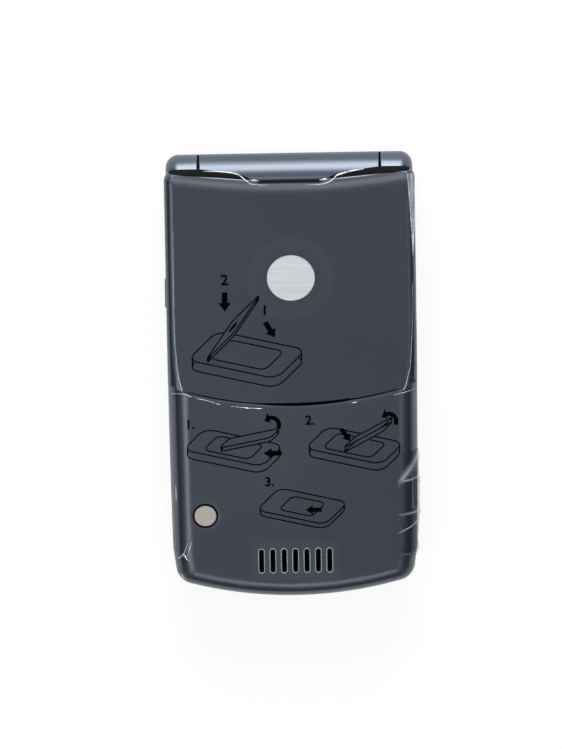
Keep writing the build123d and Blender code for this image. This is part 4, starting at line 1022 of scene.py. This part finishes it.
def roundedBlock(size, corner, segments):  # a block with its upright edges rounded
    bm = bmesh.new()
    bmesh.ops.create_cube(bm, size=mm)
    bmesh.ops.scale(bm, vec=size, verts=bm.verts)
    upright = [edge for edge in bm.edges if abs(edge.verts[0].co.z - edge.verts[1].co.z) > 0.001 * mm]
    bmesh.ops.bevel(bm, geom=upright, offset=corner * mm, affect="EDGES", segments=segments, profile=0.5,
                    material=-1)
    return bm


slotMiddle = (soundSlots["count"] - 1) / 2
rims = [slotOutline((i - slotMiddle) * soundSlots["pitch"], soundSlots) for i in range(soundSlots["count"])]
# the rims' light grey is a painted highlight on the slots' edges
rimHighlight = mouldedPlastic("slotRimHighlight", colour(150, 156, 158), 0.35)
bm = lineMesh(rims, soundSlots["rimRadius"], closed=True)
smoothAll(addPiece("slotRims", bm, rimHighlight, "base"))

bm = roundedBlock(soundSlots["meshSize"], soundSlots["meshCorner"], 6)
bmesh.ops.translate(bm, vec=(0, soundSlots["y"] * mm, soundSlots["meshZ"] * mm), verts=bm.verts)
addPiece("dustMesh", bm, wovenMesh(), "base")
print("slots trimmed")

# printed on the films: pictograms of flat plates, and plain numbers

printStyle = {
    "across": (0.83, -0.20),
    "along": (0.50, 0.50),
    "rise": (0.0, 0.90),
    "line": 0.13,            # half the width of a line
    "bold": 0.022,           # how much fatter than the plain letters, by their size
    "flatten": 0.12,
    "lift": 0.06,
    "step": 0.25,
    "cornerSteps": 5,
    "innerCorner": 0.6,      # of the plate's own, of what is drawn on it
    "arrow": [(-0.5, 0.14), (0.05, 0.14), (0.05, 0.31), (0.5, 0.0)],  # its upper half, for a length of 1
    "bend": {"outer": 1.28, "inner": 0.72, "steps": 8, "head": (1.75, 1.0, 0.35), "headTurn": 0.75},
}
# each plate: middle (across, along, rise), length, width, thickness, corner, lean in degrees, marks on it
pictograms = {
    "cover": {
        "body": "battery_cover",
        "at": (-9.6, 4.6),
        "scale": 1.22,
        "plates": [
            {"middle": (-3.4, 1.0, 5.6), "size": (11.0, 10.0, 0.7), "corner": 1.4, "lean": 58, "ring": 1.0},
            {"middle": (0, 0, 0), "size": (18.5, 10.5, 1.9), "corner": 2.2, "lean": 0, "tray": (11.5, 6.8)},
        ],
        "arrows": [(-4.5, 14.0, -90, 4.3), (5.0, 7.6, -60, 4.0)],
        "numbers": [("2", -14.06, 23.4, 3.3), ("1", -5.66, 16.5, 3.1)],
    },
    "lowerLeft": {
        "body": "base",
        "at": (-12.8, -15.7),
        "scale": 1.3,
        "plates": [
            {"middle": (3.0, 0.4, 2.9), "size": (11.0, 3.2, 0.7), "corner": 0.9, "lean": 22, "ring": 0.0},
            {"middle": (0, 0, 0), "size": (15.5, 7.2, 1.4), "corner": 1.9, "lean": 0, "tray": (9.0, 4.8)},
        ],
        "arrows": [(8.3, 0.2, 180, 3.8)],
        "bends": [(8.1, 6.6, 1.65, -30, 105)],
        "numbers": [("1.", -21.95, -8.8, 2.9)],
    },
    "lowerRight": {
        "body": "base",
        "at": (12.9, -15.7),
        "scale": 1.3,
        "plates": [
            {"middle": (2.4, 0.6, 3.2), "size": (9.5, 3.6, 0.9), "corner": 0.7, "lean": 36, "ring": 0.0},
            {"middle": (0, 0, 0), "size": (15.0, 7.4, 1.4), "corner": 1.9, "lean": 0, "tray": (9.5, 5.0)},
        ],
        "arrows": [(-1.8, 4.0, -55, 3.4)],
        "bends": [(7.3, 7.0, 1.65, -30, 105)],
        "numbers": [("2.", 3.55, -8.3, 2.9)],
    },
    "lowerMiddle": {
        "body": "base",
        "at": (1.6, -28.6),
        "scale": 1.3,
        "plates": [
            {"middle": (0, 0, 0), "size": (13.5, 7.6, 0.9), "corner": 1.7, "lean": 0, "tray": (6.5, 4.6)},
        ],
        "arrows": [(2.4, 0.2, 180, 3.4)],
        "numbers": [("3.", -5.3, -22.0, 2.9)],
    },
}


def platePoints(plate, height, size=None):  # outline of a plate's face, drawn on the paper
    length, width = size or plate["size"][:2]
    corner = plate["corner"] * (printStyle["innerCorner"] if size else 1)
    lean, (midAcross, midAlong, midRise) = radians(plate["lean"]), plate["middle"]
    drawn = []
    for sideX, sideY, first in ((1, 1, 0), (-1, 1, pi / 2), (-1, -1, pi), (1, -1, 1.5 * pi)):
        for i in range(printStyle["cornerSteps"] + 1):
            turn = first + pi / 2 * i / printStyle["cornerSteps"]
            p = sideX * (length / 2 - corner) + corner * cos(turn)
            q = sideY * (width / 2 - corner) + corner * sin(turn)
            drawn.append(onPaper(midAcross + p * cos(lean), midAlong + q, midRise + p * sin(lean) + height))
    return drawn


def onPaper(across, along, rise):
    return Vector([across * a + along * b + rise * c for a, b, c in
                   zip(printStyle["across"], printStyle["along"], printStyle["rise"])])


def inside(point, hull):
    turns = [(b - a).cross(point - a) for a, b in zip(hull, hull[1:] + hull[:1])]
    return all(turn > 0 for turn in turns) or all(turn < 0 for turn in turns)


def visibleRuns(outline, hulls):  # the parts of a line that no nearer plate hides
    runs, run = [], []
    for x, y in denser([tuple(point) for point in outline], printStyle["step"]):
        if any(inside(Vector((x, y)), hull) for hull in hulls):
            runs, run = runs + [run], []
        else:
            run.append((x, y))
    return [part for part in runs + [run] if len(part) > 1]


def drawPlates(plates):  # nearest plate first
    runs, hulls = [], []
    for plate in plates:
        thick = plate["size"][2]
        top, bottom = platePoints(plate, thick), platePoints(plate, 0.0)
        corners = top + bottom
        topHull = [top[i] for i in convex_hull_2d(top)]
        runs += visibleRuns(top + top[:1], hulls)
        runs += visibleRuns(bottom + bottom[:1], hulls + [topHull])
        for chosen in (min, max):
            i = chosen(range(len(top)), key=lambda index: top[index].x)
            runs += visibleRuns([top[i], bottom[i]], hulls)
        if plate.get("tray"):
            tray = platePoints(plate, thick, plate["tray"])
            runs += visibleRuns(tray + tray[:1], hulls)
        if plate.get("ring"):
            disc = dict(plate, corner=plate["ring"] / printStyle["innerCorner"])
            ring = platePoints(disc, thick, (2 * plate["ring"],) * 2)
            runs += visibleRuns(ring + ring[:1], hulls)
        hulls.append([corners[i] for i in convex_hull_2d(corners)])
    return runs


def textMesh(text, size):  # flat letters round the origin
    curve = bpy.data.curves.new("text", "FONT")
    curve.body = text
    curve.size = size * mm
    curve.align_x, curve.align_y = "CENTER", "CENTER"
    curve.extrude = 0.004 * mm
    curve.offset = printStyle["bold"] * size * mm
    curve.resolution_u = 4
    return curveMesh(curve)


def joinInto(target, bm):  # adds one bmesh to another
    mesh = bpy.data.meshes.new("part")
    bm.to_mesh(mesh)
    bm.free()
    target.from_mesh(mesh)
    bpy.data.meshes.remove(mesh)


def inkShape(outline, turn=0.0):  # a flat shape of ink, with a little thickness
    bm = bmesh.new()
    face = bm.faces.new([bm.verts.new((x * mm, y * mm, 0)) for x, y in outline])
    grown = bmesh.ops.extrude_face_region(bm, geom=[face])
    raised = [item for item in grown["geom"] if isinstance(item, bmesh.types.BMVert)]
    bmesh.ops.translate(bm, vec=(0, 0, 0.01 * mm), verts=raised)
    bmesh.ops.rotate(bm, matrix=Matrix.Rotation(radians(turn), 3, "Z"), verts=bm.verts)
    bmesh.ops.recalc_face_normals(bm, faces=bm.faces)
    return bm


def arrowShape(turn, size):
    half = printStyle["arrow"]
    outline = half + [(x, -y) for x, y in reversed(half[:-1])]
    return inkShape([(x * size, y * size) for x, y in outline], turn)


def bentArrow(radius, start, end):  # an arc with a head at its far end
    bend = printStyle["bend"]
    turns = [radians(start + (end - start) * i / bend["steps"]) for i in range(bend["steps"] + 1)]
    last, tip = turns[-1], turns[-1] + bend["headTurn"]
    outline = [(bend["outer"], turn) for turn in turns]
    outline += zip(bend["head"], (last, tip, last))
    outline += [(bend["inner"], turn) for turn in reversed(turns)]
    return inkShape([(reach * radius * cos(turn), reach * radius * sin(turn)) for reach, turn in outline])


def printPictogram(name, drawing):
    (atX, atY), scale = drawing["at"], drawing["scale"]
    drawn = drawPlates(drawing["plates"])
    runs = [[(atX + scale * x, atY + scale * y, 0.0, 1.0) for x, y in run] for run in drawn]
    ink = lineMesh(runs, printStyle["line"])
    bmesh.ops.scale(ink, vec=(1, 1, printStyle["flatten"]), verts=ink.verts)
    arrows = [(x, y, arrowShape(turn, size)) for x, y, turn, size in drawing["arrows"]]
    arrows += [(x, y, bentArrow(*bend)) for x, y, *bend in drawing.get("bends", [])]
    for x, y, arrow in arrows:
        bmesh.ops.translate(arrow, vec=((atX + x) * mm, (atY + y) * mm, 0), verts=arrow.verts)
        joinInto(ink, arrow)
    for text, x, y, size in drawing["numbers"]:
        letters = textMesh(text, size)
        bmesh.ops.translate(letters, vec=(x * mm, y * mm, 0), verts=letters.verts)
        joinInto(ink, letters)
    layOnBack(ink, backSurface[drawing["body"]], printStyle["lift"])
    addPiece(name + "Print", ink, printInk, drawing["body"])


printInk = mouldedPlastic("printInk", colour(4, 5, 7), 0.9, specular=0.0)
for name, drawing in pictograms.items():
    printPictogram(name, drawing)
print("pictograms printed:", len(pictograms))

# keys: plain numbers and marks on their faces

keyMarks = {
    "size": 3.4,
    "standOff": 0.004,       # of the ink from the key
    "barThickness": 0.008,
    "barCorner": 0.45,       # of its width
    "texts": {"key_star": "*", "key_hash": "#", **{"key_" + digit: digit for digit in "0123456789"}},
    "bars": {"send_key": (3.2, 0.5), "end_key": (3.2, 0.5), "clear_key": (2.2, 0.35),
             "left_soft_key": (1.6, 0.35), "right_soft_key": (1.6, 0.35), "select_key": (1.4, 0.35)},
}
keyInk = mouldedPlastic("keyInk", colour(214, 226, 236), 0.45)
sendInk = mouldedPlastic("sendInk", colour(70, 190, 110), 0.45)
endInk = mouldedPlastic("endInk", colour(214, 60, 56), 0.45)


def markKey(node, bm, ink):  # the keypad faces down, so a mark is turned over
    low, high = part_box(node)
    bmesh.ops.rotate(bm, matrix=Matrix.Rotation(pi, 3, "Y"), verts=bm.verts)
    middle = ((low[0] + high[0]) / 2, (low[1] + high[1]) / 2, low[2] - keyMarks["standOff"] * mm)
    bmesh.ops.translate(bm, vec=middle, verts=bm.verts)
    addPiece(node + "Mark", bm, ink, node)


for node, text in keyMarks["texts"].items():
    markKey(node, textMesh(text, keyMarks["size"]), keyInk)
for node, (length, width) in keyMarks["bars"].items():
    bar = roundedBlock((length, width, keyMarks["barThickness"]), keyMarks["barCorner"] * width, 5)
    markKey(node, bar, {"send_key": sendInk, "end_key": endInk}.get(node, keyInk))
print("keys marked")
